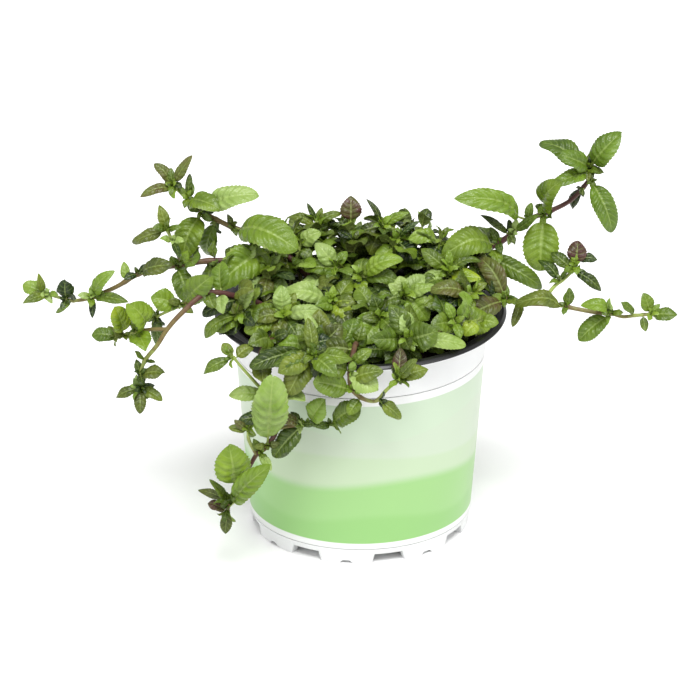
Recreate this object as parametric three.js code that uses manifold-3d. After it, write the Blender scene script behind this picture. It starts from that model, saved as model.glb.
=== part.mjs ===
// Potted mint: a thin nursery pot with a flared lip, a printed sleeve, soil, eight long leafy stems
// that spread or hang over the lip, and a bush of leafy shoots.
// Millimetres, +Z up. The origin is the middle of the pot's underside; -Y is the front and +X the right.
import * as THREE from 'three';
import * as BufferGeometryUtils from 'three/addons/utils/BufferGeometryUtils.js';
import Module from 'manifold-3d';

const wasm = await Module();
wasm.setup();

// ---- pot ----
const POT_HEIGHT = 95;
const LIP_RADIUS = 60;
const WALL_FOOT_RADIUS = 45.4; // outer radius of the sleeved wall at z = 0
const WALL_SLOPE = 0.078; // and by how much it grows a millimetre
const WALL_THICKNESS = 1.2;
const COLLAR_BOTTOM = 77.3;
const PLATE_BOTTOM = 4.2;
const PLATE_TOP = 5.6;
const PAD_RADIUS = 12; // of the flat middle pad that the pot also stands on
const PAD_SLOPE = 1.5; // how much wider the pad is at its top
const FOOT_WIDTH = 3.4;
const FOOT_CHAMFER = 0.5;
const FOOT_COUNT = 8;
const FOOT_GAP_ANGLE = 15; // degrees of each gap between two feet
const FOOT_STEP_ANGLE = 4; // and of the low step in the middle of each foot
const FOOT_STEP_HEIGHT = 1.4;
const FOOT_SLANT = 1.2; // how much wider both are at the bottom, on each side
const FOOT_GAP_AZIMUTH = 15; // degrees of the first gap, counted from the front to the right
const DRAIN_COUNT = 6;
const DRAIN_RADIUS = 3.2;
const DRAIN_CIRCLE = 30;
const DRAIN_SIDES = 8;
const CUT_SPARE = 3; // how far a cutting solid reaches past what it cuts
const POT_SIDES = 32;
const FLARE_START = 90; // height where the wall bends out to the lip
// The lip from below and then from above: [radius, height].
const LIP_UNDERSIDE = [[54.4, 92.2], [57, 93.5], [LIP_RADIUS, 93.2], [LIP_RADIUS, POT_HEIGHT - 0.5]];
const LIP_TOP = [[58.4, POT_HEIGHT], [56, POT_HEIGHT - 0.3], [53.2, 93.2]];

// ---- sleeve and soil ----
const SLEEVE_BOTTOM = 7;
const SLEEVE_TOP = 77;
const SLEEVE_THICKNESS = 0.5;
const CLEARANCE = 0.3; // between pieces that touch
const SOIL_TOP = 80;
const SOIL_EDGE_DROP = 1.5; // how much lower the soil is at the wall
const SOIL_LUMP = 1.4;
const SOIL_WAVES = [3.1, 5.3]; // lumps round a ring
const SOIL_RINGS = [16, 32];
const SOIL_SIDES = 16;

// ---- stems and leaves ----
const ROOT_BOTTOM = 64;
const ROOT_TOP = 84; // every stem is straight and upright up to here
const STEM_STEP = 13; // length of one straight piece of a stem
const HOLE_SIDES = 4;
const BLADE = 0.7; // thickness of a leaf
const NECK = 0.9; // width of a leaf where it leaves its stem
const NECK_SHARE = 0.14; // share of a leaf's length that is its narrow neck
const RIB_SHARE = 0.46; // share of a leaf's length where its faces meet in the middle
const BUD_WIDEST = 0.45;
const FOLD = 0.25; // how steeply the two halves of a blade rise from its middle
const GUARD = 0.35; // free space that a leaf keeps round itself
const GUARD_FROM_OTHERS = 0.05; // share of a leaf's length from which it keeps clear of other pieces
const GUARD_FROM_OWN = 0.26; // and of the leaves of its own stem
const LAST_SHARE = 0.9999; // keeps the end of a stem on its last straight piece
const FACE_LEAN = 38; // degrees by which a hand-placed leaf's upper side leans to the front

// A leaf's cut edge: [share of its length, share of its half width], tooth and notch by turns.
const EDGE_LARGE = [[0.23, 0.88], [0.38, 1.06], [0.52, 0.9], [0.64, 0.92], [0.8, 0.56]];
const EDGE_SMALL = [[0.27, 1], [0.47, 0.86], [0.66, 0.88]];
const EDGE_PLAIN = [[0.36, 1], [0.7, 0.74]];
const LARGE_LEAF = 24; // leaves at least this long have the large edge
const SMALL_LEAF = 17.5; // and leaves shorter than this the plain one
const TINY_LEAF = 11.4; // leaves shorter than this are four-cornered buds

// Long stems. A limb starts at root [x, y] in the soil, or at the first point of its path on another
// limb of the same stem. thick is its width at the start and the end. Each leaf is
// [place along the path counted in its points, tip, width, arch, face lean where it isn't the usual one].
const LONG_STEMS = {
  stem_upper_left: [{
    root: [-12, 10],
    thick: [2.8, 1.5],
    path: [[-25, 8, 110], [-45, 12, 122], [-55, 14, 126], [-65, 16, 131], [-71, 18, 136], [-77, 20, 141]],
    leaves: [
      [3.2, [-42, 8, 142], 11, 0.14, 45], [1.75, [-27, -8, 126], 16, 0.16, 42],
      [0.5, [-63, -6, 117], 15, 0.14, 45], [5, [-69, 18, 155], 5, 0.05], [5, [-84, 22, 150], 5, 0.05],
      [4.9, [-90, 14, 139], 5, 0.1], [4, [-70, 20, 146], 3, 0.05], [3.9, [-57, 6, 135], 11, 0.1],
      [3, [-73, 4, 116], 12, 0.1], [2.4, [-64, 20, 109], 8, 0.1, 40],
    ],
  }],
  stem_left: [{
    root: [-24, 2],
    thick: [2.6, 1.4],
    path: [
      [-43, 0, 113], [-58, 0, 116], [-73, 0, 114], [-82, 1, 112], [-91, 2, 109], [-100, 3, 103],
      [-110, 4, 98], [-116, 5, 96], [-121, 6, 96], [-130, 8, 98],
    ],
    leaves: [
      [9, [-139, 10, 101], 7, 0.1], [9, [-132, 5, 108], 3.5, 0.05], [8.8, [-139, 2, 94], 4.5, 0.1],
      [8, [-121, 3, 106], 7, 0.05], [7.4, [-118, 1, 102], 2.5, 0], [7.5, [-125, 1, 92], 2.5, 0],
      [6, [-101, 1, 111], 7, 0.2], [6.1, [-97, -7, 103], 5, 0.1], [6, [-110, -2, 91], 3, 0.05],
      [4, [-77, -8, 118], 8, 0.12], [4.6, [-97, 6, 113], 4, 0.05], [2.2, [-71, -11, 103], 9, 0.1],
      [1.3, [-60, 8, 103], 9, 0.1], [2, [-71, -3, 121], 5, 0.05],
    ],
  }, {
    thick: [1.6, 1.2],
    path: [[-73, 0, 114], [-76, 3, 121], [-79, 6, 127]],
    leaves: [
      [2, [-82, 8, 137], 5, 0.05], [2, [-94, 8, 121], 6, 0.1], [1.3, [-74, -7, 121], 3, 0],
    ],
  }],
  stem_lower_left: [{
    root: [-20, -13],
    thick: [2.8, 1.5],
    path: [
      [-38, -21, 104], [-53, -26, 112], [-63, -30, 114], [-72, -35, 108], [-78, -38, 102],
      [-82, -40, 96], [-87, -42, 90], [-89, -43, 84], [-89, -44, 79],
    ],
    leaves: [
      [8, [-89, -50, 70], 5, 0.05], [8, [-99, -43, 74], 5, 0.1], [8, [-80, -48, 75], 5, 0.1],
      [7, [-79, -50, 88], 7, 0.1], [6, [-91, -44, 95], 2.5, 0], [6, [-82, -48, 88], 2.5, 0],
      [0.6, [-64, -30, 106], 7.5, 0.1],
    ],
  }, {
    thick: [1.8, 1.3],
    path: [[-78, -38, 102], [-85, -36, 101], [-91, -34, 99], [-98, -32, 96]],
    leaves: [
      [3, [-109, -30, 96], 7, 0.1], [2.7, [-99, -40, 113], 9, 0.1], [1.6, [-91, -46, 116], 12, 0.14],
      [2, [-87, -50, 102], 9, 0.1],
    ],
  }, {
    thick: [1.7, 1.2],
    path: [[-63, -30, 114], [-72, -22, 106], [-83, -16, 98]],
    leaves: [
      [1, [-62, -33, 122], 10.5, 0.05, 55], [1.2, [-85, -22, 109], 9.5, 0.1, 50],
      [2, [-83, -14, 84], 5, 0.05], [2, [-93, -12, 101], 5, 0.05],
    ],
  }],
  stem_hanging: [{
    root: [-21, -27],
    thick: [2.8, 1.5],
    path: [
      [-32, -39, 99], [-40, -51, 97], [-36, -58, 80], [-34, -60, 68], [-38, -60, 60], [-42, -59, 56],
      [-46, -58, 48], [-50, -57, 41], [-53, -56, 34], [-54, -55, 29],
    ],
    leaves: [
      [3.9, [-35, -71, 96], 15, 0.08, 60], [7.2, [-53, -62, 62], 15, 0.1],
      [8.7, [-36, -71, 57], 10, 0.1, 50], [9, [-55, -58, 20], 5, 0.05], [9, [-62, -52, 31], 5, 0.1],
      [8, [-66, -50, 36], 4, 0.05], [8.2, [-61, -59, 45], 4, 0.05], [8, [-52, -66, 37], 4, 0.05],
      [4.7, [-36, -68, 53], 4, 0.05], [1.9, [-53, -56, 81], 7, 0.1], [1.7, [-22, -68, 84], 8, 0.12],
      [2.6, [-49, -63, 73], 7, 0.1], [0.4, [-43, -58, 105], 9, 0.1, 50],
      [1.2, [-39, -67, 91], 8, 0.1, 50],
    ],
  }, {
    thick: [1.6, 1.2],
    path: [[-42, -59, 56], [-45, -62, 64], [-45, -64, 69]],
    leaves: [
      [2, [-53, -63, 70], 4, 0.05], [2, [-47, -64, 78], 4, 0.05], [2, [-40, -70, 76], 4, 0.05],
    ],
  }, {
    thick: [1.7, 1.2],
    path: [[-34, -60, 68], [-24, -60, 70], [-17, -59, 70], [-12, -60, 70]],
    leaves: [
      [1, [-35, -66, 76], 6, 0.1], [1.1, [-36, -65, 58], 9, 0.1, 45], [1.4, [-14, -64, 83], 9, 0.1, 50],
      [3, [0, -67, 81], 10, 0.14, 50],
    ],
  }, {
    thick: [1.5, 1.1],
    path: [[-36, -58, 80], [-46, -60, 93], [-51, -61, 100]],
    leaves: [
      [2, [-63, -62, 93], 5.5, 0.14], [2, [-55, -58, 105], 5, 0.05], [1.9, [-43, -57, 103], 6, 0.1],
    ],
  }],
  stem_front: [{
    root: [-1, -30],
    thick: [2.3, 1.4],
    path: [
      [-2, -50, 101], [-4, -64, 97], [-4, -67, 90], [0, -67, 85], [6, -66, 83], [10, -67, 88],
      [15, -67, 93],
    ],
    leaves: [
      [6, [27, -64, 96], 7, 0.1], [6, [16, -61, 104], 6, 0.05], [6, [21, -72, 104], 5, 0.05],
      [4.2, [16, -66, 75], 6, 0.1], [3, [-5, -71, 79], 6, 0.1], [2.3, [-19, -71, 94], 10.5, 0.1, 55],
      [1.3, [7, -71, 90], 10.5, 0.1, 55], [0.9, [4, -62, 104], 5.5, 0.1, 50],
    ],
  }],
  stem_front_left: [{
    root: [-23, -38],
    thick: [2.3, 1.6],
    path: [[-22, -42, 96], [-21, -54, 101], [-20, -61, 102], [-19, -66, 103]],
    leaves: [
      [3, [-21, -61, 117], 5.5, 0.05], [3, [-35, -67, 99], 7, 0.1, 45], [3, [-3, -67, 102], 7, 0.12, 45],
      [2.9, [-9, -74, 96], 8.5, 0.1, 50], [1.2, [-45, -60, 93], 8, 0.12, 50],
      [1.8, [-24, -68, 90], 8.5, 0.1, 50], [0.9, [-12, -54, 105], 7.5, 0.1, 45],
    ],
  }],
  stem_upper_right: [{
    root: [22, 8],
    thick: [2.8, 1.6],
    path: [
      [33, 9, 102], [48, 12, 113], [60, 14, 120], [65, 16, 124], [70, 18, 127], [79, 20, 130],
      [87, 22, 134], [94, 24, 142], [94, 24, 147],
    ],
    leaves: [
      [8, [105, 20, 164], 12, 0.1], [8, [85, 16, 162], 8.5, 0.1], [7.7, [74, 32, 156], 10.5, 0.1],
      [7.7, [81, 8, 150], 8, 0.1], [7.1, [104, 14, 123], 10, 0.12], [6.6, [87, 30, 126], 5, 0.1],
      [4.9, [84, 6, 149], 12, 0.14, 40], [3.8, [41, 2, 144], 11, 0.14, 40], [4.6, [74, 8, 108], 15, 0.1],
      [2.2, [51, 8, 133], 4, 0], [2.5, [69, 10, 136], 4, 0], [1.7, [34, 2, 118], 13, 0.2, 42],
      [1.1, [75, 6, 102], 9, 0.1, 45], [1, [54, 4, 120], 9, 0.1],
    ],
  }],
  stem_right: [{
    root: [33, -4],
    thick: [2.4, 1.4],
    path: [
      [45, -5, 98], [59, -6, 101], [66, -7, 100], [81, -9, 100], [87, -10, 99], [96, -12, 98],
      [102, -13, 98], [107, -14, 97], [112, -15, 98], [118, -16, 99],
    ],
    leaves: [
      [6, [90, -18, 104], 7, 0.3], [6, [89, -18, 88], 9, 0.1], [8, [106, -18, 105], 4, 0.05],
      [9, [115, -15, 108], 6, 0.05], [9, [129, -19, 100], 7, 0.1], [8.5, [116, -20, 93], 3.5, 0],
      [3.6, [85, -11, 108], 4, 0.05], [3.5, [63, -15, 103], 8, 0.28], [2, [62, -13, 92], 4, 0.05],
      [1, [43, -20, 100], 9, 0.12, 50], [1.3, [62, -14, 103], 4.5, 0.05],
      [1.1, [49, 2, 117], 8.5, 0.1, 50],
    ],
  }, {
    thick: [1.7, 1.3],
    path: [[74, -8, 100], [79, 0, 104], [84, 3, 107], [87, 4, 110], [89, 5, 114]],
    leaves: [
      [3.4, [89, 6, 122], 8, 0.05], [4, [97, 4, 115], 4.5, 0.1], [3, [99, 0, 103], 5, 0.1],
      [3, [78, 9, 115], 6, 0.1], [1.6, [73, 9, 111], 5, 0.1],
    ],
  }],
};

// Bush shoots that the front shows. A shoot rises from its root over a middle point to its tip, and the
// places of its leaves are counted from 0 at the middle point to 1 at the tip.
const FRONT_SHOOTS = [
  {
    root: [-10, 20],
    tip: [-18, 28, 121],
    leaves: [
      [1, [-22, 30, 129], 2.5, 0.05, 40], [1, [-16, 31, 127], 3, 0.05, 40],
      [1, [-8, 28, 126], 4.5, 0.1, 40], [0.9, [-30, 29, 124], 5, 0.16, 30],
      [0.8, [-19, 21, 117], 7.5, 0.1, 45], [0.7, [-30, 25, 120], 6.5, 0.1, 40],
    ],
  },
  {
    root: [-2, 10],
    tip: [-4, 27, 121],
    leaves: [
      [1, [-4, 30, 132], 9, 0.05, 50], [1, [-5, 19, 112], 8, 0.08, 50],
      [0.9, [-13, 29, 120], 2.5, 0.1, 40], [0.8, [3, 21, 106], 6.5, 0.1, 45],
    ],
  },
  {
    root: [6, 21],
    tip: [9, 25, 121],
    leaves: [
      [1, [3, 27, 132], 3, 0.05, 40], [1, [20, 25, 127], 4.5, 0.08, 35], [1, [-1, 25, 118], 6.5, 0.1, 40],
      [0.8, [1, 18, 114], 9.5, 0.1, 55], [1, [15, 20, 117], 6, 0.16, 35],
    ],
  },
  {
    root: [13, 11],
    tip: [15, 17, 118],
    leaves: [
      [1, [24, 17, 127], 3, 0.1, 30], [1, [23, 10, 110], 8.5, 0.14, 50],
      [0.8, [6, 12, 111], 7.5, 0.12, 40],
    ],
  },
  {
    root: [-31, 9],
    tip: [-25, 12, 117],
    leaves: [
      [1, [-17, 12, 124], 7.5, 0.1, 40], [0.9, [-20, 8, 114], 5, 0.1, 40],
    ],
  },
  {
    root: [-36, -6],
    tip: [-38, -2, 112],
    leaves: [
      [0.8, [-49, -11, 102], 7, 0.1, 50], [0.8, [-39, -13, 102], 7, 0.06, 55],
      [0.7, [-30, -10, 107], 6, 0.1, 50],
    ],
  },
  {
    root: [-8, -3],
    tip: [-10, -1, 113],
    leaves: [
      [1, [-18, 2, 123], 8, 0.1, 45], [1, [-6, 2, 120], 4.5, 0.05, 40], [1, [-23, -3, 115], 7, 0.12, 40],
      [1, [-13, -9, 108], 6, 0.1, 50], [0.8, [-3, -11, 104], 8.5, 0.06, 60],
    ],
  },
  {
    root: [13, -5],
    tip: [18, -16, 108],
    leaves: [
      [1, [31, -18, 112], 6.5, 0.12, 35], [1, [27, -26, 102], 11.5, 0.08, 60],
      [1, [5, -20, 103], 8.5, 0.1, 45], [1, [18, -13, 115], 6.5, 0.06, 45],
      [0.7, [6, -16, 109], 6, 0.1, 35],
    ],
  },
  {
    root: [24, 15],
    tip: [33, 17, 118],
    leaves: [
      [1, [19, 14, 118], 7.5, 0.14, 35], [1, [36, 19, 123], 3, 0.05, 40],
      [0.9, [29, 10, 111], 6, 0.1, 45], [0.8, [49, 15, 111], 6.5, 0.1, 40],
    ],
  },
  {
    root: [31, 4],
    tip: [36, -2, 112],
    leaves: [
      [1, [25, 1, 121], 7, 0.08, 45], [1, [24, -7, 110], 6, 0.14, 40], [1, [49, -2, 117], 5, 0.2, 30],
      [1, [36, 1, 121], 3.5, 0.05, 40], [0.8, [49, -7, 111], 7.5, 0.1, 45],
    ],
  },
  {
    root: [27, -12],
    tip: [45, -16, 108],
    leaves: [
      [1, [51, -16, 113], 4.5, 0.08, 40], [1, [41, -14, 114], 4, 0.06, 40],
      [1, [28, -19, 110], 8, 0.12, 40], [1, [43, -23, 102], 5, 0.1, 50],
      [0.7, [35, -24, 106], 7, 0.1, 50],
    ],
  },
  {
    root: [38, 5],
    tip: [49, 8, 110],
    leaves: [
      [1, [54, 10, 114], 5.5, 0.1, 40], [1, [56, 2, 105], 7.5, 0.1, 45], [0.9, [43, 4, 107], 5, 0.1, 45],
    ],
  },
  {
    root: [-30, -19],
    tip: [-31, -29, 104],
    leaves: [
      [1, [-32, -26, 116], 7.5, 0.08, 50], [1, [-43, -32, 104], 7, 0.12, 35],
      [1, [-16, -31, 108], 6.5, 0.14, 40], [0.7, [-42, -39, 90], 9.5, 0.1, 50],
      [0.8, [-24, -37, 95], 6.5, 0.1, 50],
    ],
  },
  {
    root: [-12, -14],
    tip: [-12, -21, 107],
    leaves: [
      [1, [-31, -24, 113], 9, 0.12, 40], [0.8, [-23, -28, 107], 7.5, 0.12, 45],
      [1, [-5, -30, 104], 8, 0.06, 60], [1, [-16, -18, 114], 6, 0.08, 45],
      [0.6, [-16, -29, 100], 6.5, 0.1, 50],
    ],
  },
  {
    root: [10, -32],
    tip: [19, -44, 100],
    leaves: [
      [1, [12, -41, 114], 8.5, 0.08, 50], [1, [29, -46, 109], 13, 0.1, 50],
      [1, [42, -48, 102], 7, 0.1, 40], [0.8, [28, -53, 99], 8.5, 0.1, 45],
    ],
  },
  {
    root: [2, -20],
    tip: [8, -30, 104],
    leaves: [
      [0.8, [0, -41, 97], 11, 0.1, 60], [1, [15, -38, 97], 7, 0.14, 50],
      [1, [-2, -32, 103], 6.5, 0.12, 40], [1, [5, -27, 110], 6, 0.06, 45],
      [0.5, [-4, -40, 95], 7, 0.1, 50],
    ],
  },
  {
    root: [-17, -33],
    tip: [-17, -50, 99],
    leaves: [
      [1, [-22, -48, 114], 4.5, 0.05, 50], [1, [-11, -47, 111], 9.5, 0.1, 50],
      [1, [-3, -52, 101], 6.5, 0.1, 40], [1, [-9, -57, 89], 9, 0.06, 60],
    ],
  },
  {
    root: [-9, -36],
    tip: [-6, -49, 97],
    leaves: [[1, [4, -54, 97], 7, 0.1, 50]],
  },
  {
    root: [-36, -19],
    tip: [-49, -28, 105],
    leaves: [
      [1, [-54, -25, 116], 8.5, 0.06, 50], [1, [-42, -25, 117], 6, 0.06, 45],
      [1, [-63, -31, 95], 6, 0.22, 30], [0.8, [-60, -30, 99], 8.5, 0.1, 35],
    ],
  },
  {
    root: [22, -25],
    tip: [47, -34, 104],
    leaves: [
      [1, [42, -39, 100], 7, 0.1, 55], [1, [55, -38, 105], 6.5, 0.1, 50],
      [0.8, [39, -34, 104], 5, 0.1, 40],
    ],
  },
  {
    root: [2, 1],
    tip: [0, -5, 111],
    leaves: [
      [1, [16, -9, 110], 7.5, 0.14, 40], [1, [18, -6, 118], 8.5, 0.14, 35],
      [1, [1, -14, 104], 7, 0.1, 50],
    ],
  },
];
const SHOOT_THICK = [1.9, 1.2];
const SHOOT_RISE = 5; // how far a shoot's middle stands above the straight line to its tip

// Bush shoots at the back, by turns in the outer and the inner of two arcs.
const BACK_SHOOTS = 6;
const BACK_ARC = [6, 162]; // degrees, counted from the right over the back to the left
const BACK_RINGS = [{ root: 36, tip: 52, height: 107 }, { root: 24, tip: 36, height: 118 }];
const BACK_HEIGHT_SPREAD = 4;

// Crossed pairs of leaves: the share of the shoot's length where they stand, their length, and by how many
// degrees they rise above square to the shoot.
const FRONT_PAIRS = [{ share: 0.6, length: 16, lift: 8 }];
const BACK_PAIRS = [
  { share: 0.5, length: 19, lift: 2 },
  { share: 0.77, length: 17, lift: 20 },
  { share: 1, length: 9.5, lift: 52 },
];
const PAIR_ARCH = 0.1;
const PAIR_LENGTH_SPREAD = 0.14; // as a share of the length
const PAIR_LIFT_SPREAD = 10; // degrees
const PAIR_TURN_SPREAD = 0.2; // radians
const PAIR_SHAPE = 0.64; // width over length
const SEED = 20517;

const COLOURS = { pot: '#f1f2f0', sleeve: '#bfeaa6', soil: '#2b2119', shoot: '#4f8030', stem: '#5c8a3a' };

// Where a leaf would touch another piece it tries these in turn: [pitch, swing, share of its length].
const BENDS = [
  [0, 0, 1], [14, 0, 1], [-14, 0, 1], [0, 18, 1], [0, -18, 1], [26, 10, 0.9], [-26, -10, 0.9], [0, 36, 0.85],
  [0, -36, 0.85], [40, 0, 0.8], [0, 0, 0.72], [22, 28, 0.72], [22, -28, 0.72], [50, 20, 0.6], [-40, 20, 0.6],
];

const degrees = (angle) => angle * Math.PI / 180;
const vector = (list) => new THREE.Vector3(...list);

// ---- seeded random draw ----
let randomState = SEED;
function random() {
  randomState = (randomState * 16807) % 2147483647;
  return randomState / 2147483647;
}
const spread = (amount) => amount * (2 * random() - 1);

// ---- solids ----
function solidOf(points, triangles) {
  const vertProperties = new Float32Array(points.length * 3);
  points.forEach((point, i) => vertProperties.set([point.x, point.y, point.z], i * 3));
  const triVerts = new Uint32Array(triangles.flat());
  return new wasm.Manifold(new wasm.Mesh({ numProp: 3, vertProperties, triVerts }));
}

function solidFrom(geometry) {
  geometry.deleteAttribute('normal');
  geometry.deleteAttribute('uv');
  const merged = BufferGeometryUtils.mergeVertices(geometry, 1e-4);
  const vertProperties = new Float32Array(merged.attributes.position.array);
  const triVerts = new Uint32Array(merged.index.array);
  return new wasm.Manifold(new wasm.Mesh({ numProp: 3, vertProperties, triVerts }));
}

function turned(profile, sides) {
  const geometry = new THREE.LatheGeometry(profile.map(([r, z]) => new THREE.Vector2(r, z)), sides);
  return solidFrom(geometry.rotateX(Math.PI / 2));
}

function upright(x, y, bottom, top, radius, sides) {
  const geometry = new THREE.CylinderGeometry(radius, radius, top - bottom, sides).rotateX(Math.PI / 2);
  return solidFrom(geometry.translate(x, y, (bottom + top) / 2));
}

// ---- pot, sleeve and soil ----
const wallOutside = (z) => WALL_FOOT_RADIUS + WALL_SLOPE * z;
const recess = SLEEVE_THICKNESS + CLEARANCE;
const wallInside = (z) => wallOutside(z) - recess - WALL_THICKNESS;

// A box from below z = 0 up to height, wider below so that it is FOOT_SLANT wider on each side at z = 0.
function slantedBox(length, width, height) {
  const box = new THREE.BoxGeometry(length, width, 2 * height);
  const corners = box.attributes.position;
  for (let i = 0; i < corners.count; i += 1) {
    if (corners.getZ(i) < 0) corners.setY(i, corners.getY(i) + 2 * FOOT_SLANT * Math.sign(corners.getY(i)));
  }
  return box;
}

function makePot() {
  const footInner = wallInside(0) - FOOT_WIDTH + WALL_THICKNESS;
  const profile = [
    [0, 0], [PAD_RADIUS, 0], [PAD_RADIUS + PAD_SLOPE, PLATE_BOTTOM], [footInner, PLATE_BOTTOM],
    [footInner, 0], [wallOutside(0) - FOOT_CHAMFER, 0],
    [wallOutside(SLEEVE_BOTTOM), SLEEVE_BOTTOM - CLEARANCE],
    [wallOutside(SLEEVE_BOTTOM) - recess, SLEEVE_BOTTOM - CLEARANCE],
    [wallOutside(COLLAR_BOTTOM) - recess, COLLAR_BOTTOM], [wallOutside(COLLAR_BOTTOM), COLLAR_BOTTOM],
    [wallOutside(FLARE_START), FLARE_START], ...LIP_UNDERSIDE, ...LIP_TOP,
    [wallInside(FLARE_START), FLARE_START], [wallInside(PLATE_TOP), PLATE_TOP], [0, PLATE_TOP],
  ];
  let pot = turned(profile, POT_SIDES);
  const footMiddle = (footInner + wallOutside(0)) / 2;
  for (let i = 0; i < 2 * FOOT_COUNT; i += 1) {
    const azimuth = degrees(FOOT_GAP_AZIMUTH + i * 180 / FOOT_COUNT - 90);
    const [angle, height] = i % 2 ? [FOOT_STEP_ANGLE, FOOT_STEP_HEIGHT] : [FOOT_GAP_ANGLE, PLATE_BOTTOM];
    const gap = slantedBox(FOOT_WIDTH + 2 * CUT_SPARE, wallOutside(0) * degrees(angle), height);
    gap.rotateZ(azimuth).translate(footMiddle * Math.cos(azimuth), footMiddle * Math.sin(azimuth), 0);
    pot = pot.subtract(solidFrom(gap));
  }
  for (let i = 0; i < DRAIN_COUNT; i += 1) {
    const azimuth = degrees((i + 0.5) * 360 / DRAIN_COUNT);
    const x = DRAIN_CIRCLE * Math.cos(azimuth);
    const y = DRAIN_CIRCLE * Math.sin(azimuth);
    pot = pot.subtract(upright(x, y, 0, PLATE_TOP + CUT_SPARE, DRAIN_RADIUS, DRAIN_SIDES));
  }
  return pot;
}

// The outline ends where it starts, so that the turned solid is closed.
function makeSleeve() {
  const innerFoot = [wallOutside(SLEEVE_BOTTOM) - SLEEVE_THICKNESS, SLEEVE_BOTTOM];
  return turned([
    innerFoot, [wallOutside(SLEEVE_BOTTOM), SLEEVE_BOTTOM], [wallOutside(SLEEVE_TOP), SLEEVE_TOP],
    [wallOutside(SLEEVE_TOP) - SLEEVE_THICKNESS, SLEEVE_TOP], innerFoot,
  ], POT_SIDES);
}

function makeSoil(holes) {
  const bottom = PLATE_TOP + CLEARANCE;
  const reach = (z) => (wallInside(z) - CLEARANCE) * Math.cos(Math.PI / POT_SIDES);
  const rings = [[reach(bottom), bottom], [reach(SOIL_TOP), SOIL_TOP - SOIL_EDGE_DROP]];
  SOIL_RINGS.slice().reverse().forEach((radius) => rings.push([radius, SOIL_TOP]));
  const points = [];
  rings.forEach(([radius, z], ring) => {
    for (let i = 0; i < SOIL_SIDES; i += 1) {
      const angle = 2 * Math.PI * i / SOIL_SIDES;
      const waves = Math.sin(SOIL_WAVES[0] * angle + 2 * ring) * Math.cos(SOIL_WAVES[1] * angle);
      const lump = ring > 1 ? SOIL_LUMP * waves : 0;
      points.push(new THREE.Vector3(radius * Math.cos(angle), radius * Math.sin(angle), z + lump));
    }
  });
  const bottomCentre = points.push(new THREE.Vector3(0, 0, bottom)) - 1;
  const topCentre = points.push(new THREE.Vector3(0, 0, SOIL_TOP)) - 1;
  const triangles = [];
  for (let i = 0; i < SOIL_SIDES; i += 1) {
    const next = (i + 1) % SOIL_SIDES;
    triangles.push([bottomCentre, next, i]);
    for (let ring = 0; ring + 1 < rings.length; ring += 1) {
      const low = ring * SOIL_SIDES;
      const high = low + SOIL_SIDES;
      triangles.push([low + i, low + next, high + next], [low + i, high + next, high + i]);
    }
    const last = (rings.length - 1) * SOIL_SIDES;
    triangles.push([topCentre, last + i, last + next]);
  }
  let soil = solidOf(points, triangles);
  holes.forEach(([x, y, radius]) => {
    soil = soil.subtract(upright(x, y, ROOT_BOTTOM - CLEARANCE, POT_HEIGHT, radius, HOLE_SIDES));
  });
  return soil;
}

// ---- stems ----
const curveOf = (points) => new THREE.CatmullRomCurve3(points, false, 'catmullrom', 0.5);

// A closed square tube through the points, from the first half width to the last.
function tube(points, widths) {
  const corners = [];
  const across = new THREE.Vector3(1, 0, 0);
  points.forEach((point, i) => {
    const before = points[Math.max(i - 1, 0)];
    const after = points[Math.min(i + 1, points.length - 1)];
    const ahead = after.clone().sub(before).normalize();
    across.addScaledVector(ahead, -across.dot(ahead)).normalize();
    const square = ahead.clone().cross(across);
    const half = THREE.MathUtils.lerp(widths[0], widths[1], i / (points.length - 1)) / 2;
    for (const [a, b] of [[1, 1], [-1, 1], [-1, -1], [1, -1]]) {
      corners.push(point.clone().addScaledVector(across, a * half).addScaledVector(square, b * half));
    }
  });
  const triangles = [[0, 2, 1], [0, 3, 2]];
  const last = corners.length - 4;
  for (let low = 0; low < last; low += 4) {
    for (let k = 0; k < 4; k += 1) {
      const next = (k + 1) % 4;
      triangles.push([low + k, low + next, low + 4 + next], [low + k, low + 4 + next, low + 4 + k]);
    }
  }
  triangles.push([last, last + 1, last + 2], [last, last + 2, last + 3]);
  return solidOf(corners, triangles);
}

function limbPoints(curve, root) {
  const steps = Math.max(2, Math.round(curve.getLength() / STEM_STEP));
  const points = root ? [new THREE.Vector3(root[0], root[1], ROOT_BOTTOM)] : [];
  for (let i = 0; i <= steps; i += 1) {
    points.push(curve.getPoint(i / steps));
  }
  return points;
}

// The point at a share of a limb's length, on the straight pieces between its last points.
function pointOnTube(points, root, share) {
  const line = root ? points.slice(1) : points;
  const place = Math.min(share, LAST_SHARE) * (line.length - 1);
  const start = Math.floor(place);
  return line[start].clone().lerp(line[start + 1], place - start);
}

// ---- leaves ----
function makeLeaf(root, tip, width, arch, face) {
  const along = tip.clone().sub(root);
  const length = along.length();
  along.normalize();
  const up = face.clone().addScaledVector(along, -face.dot(along)).normalize();
  return { root, along, up, length, width, arch };
}

function bent(leaf, [pitch, swing, share]) {
  const side = leaf.along.clone().cross(leaf.up);
  const along = leaf.along.clone().applyAxisAngle(side, degrees(pitch));
  along.applyAxisAngle(leaf.up, degrees(swing));
  const up = leaf.up.clone().applyAxisAngle(side, degrees(pitch));
  up.addScaledVector(along, -up.dot(along)).normalize();
  return { ...leaf, along, up, length: leaf.length * share, width: leaf.width * share };
}

function leafPoint(leaf, along, across) {
  const side = leaf.along.clone().cross(leaf.up);
  const blade = Math.max(0, (along - NECK_SHARE) / (1 - NECK_SHARE));
  const rise = leaf.arch * leaf.length * 4 * blade * (1 - blade) + FOLD * (Math.abs(across) - NECK / 2);
  return leaf.root.clone().addScaledVector(leaf.along, leaf.length * along)
    .addScaledVector(side, across).addScaledVector(leaf.up, rise);
}

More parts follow.
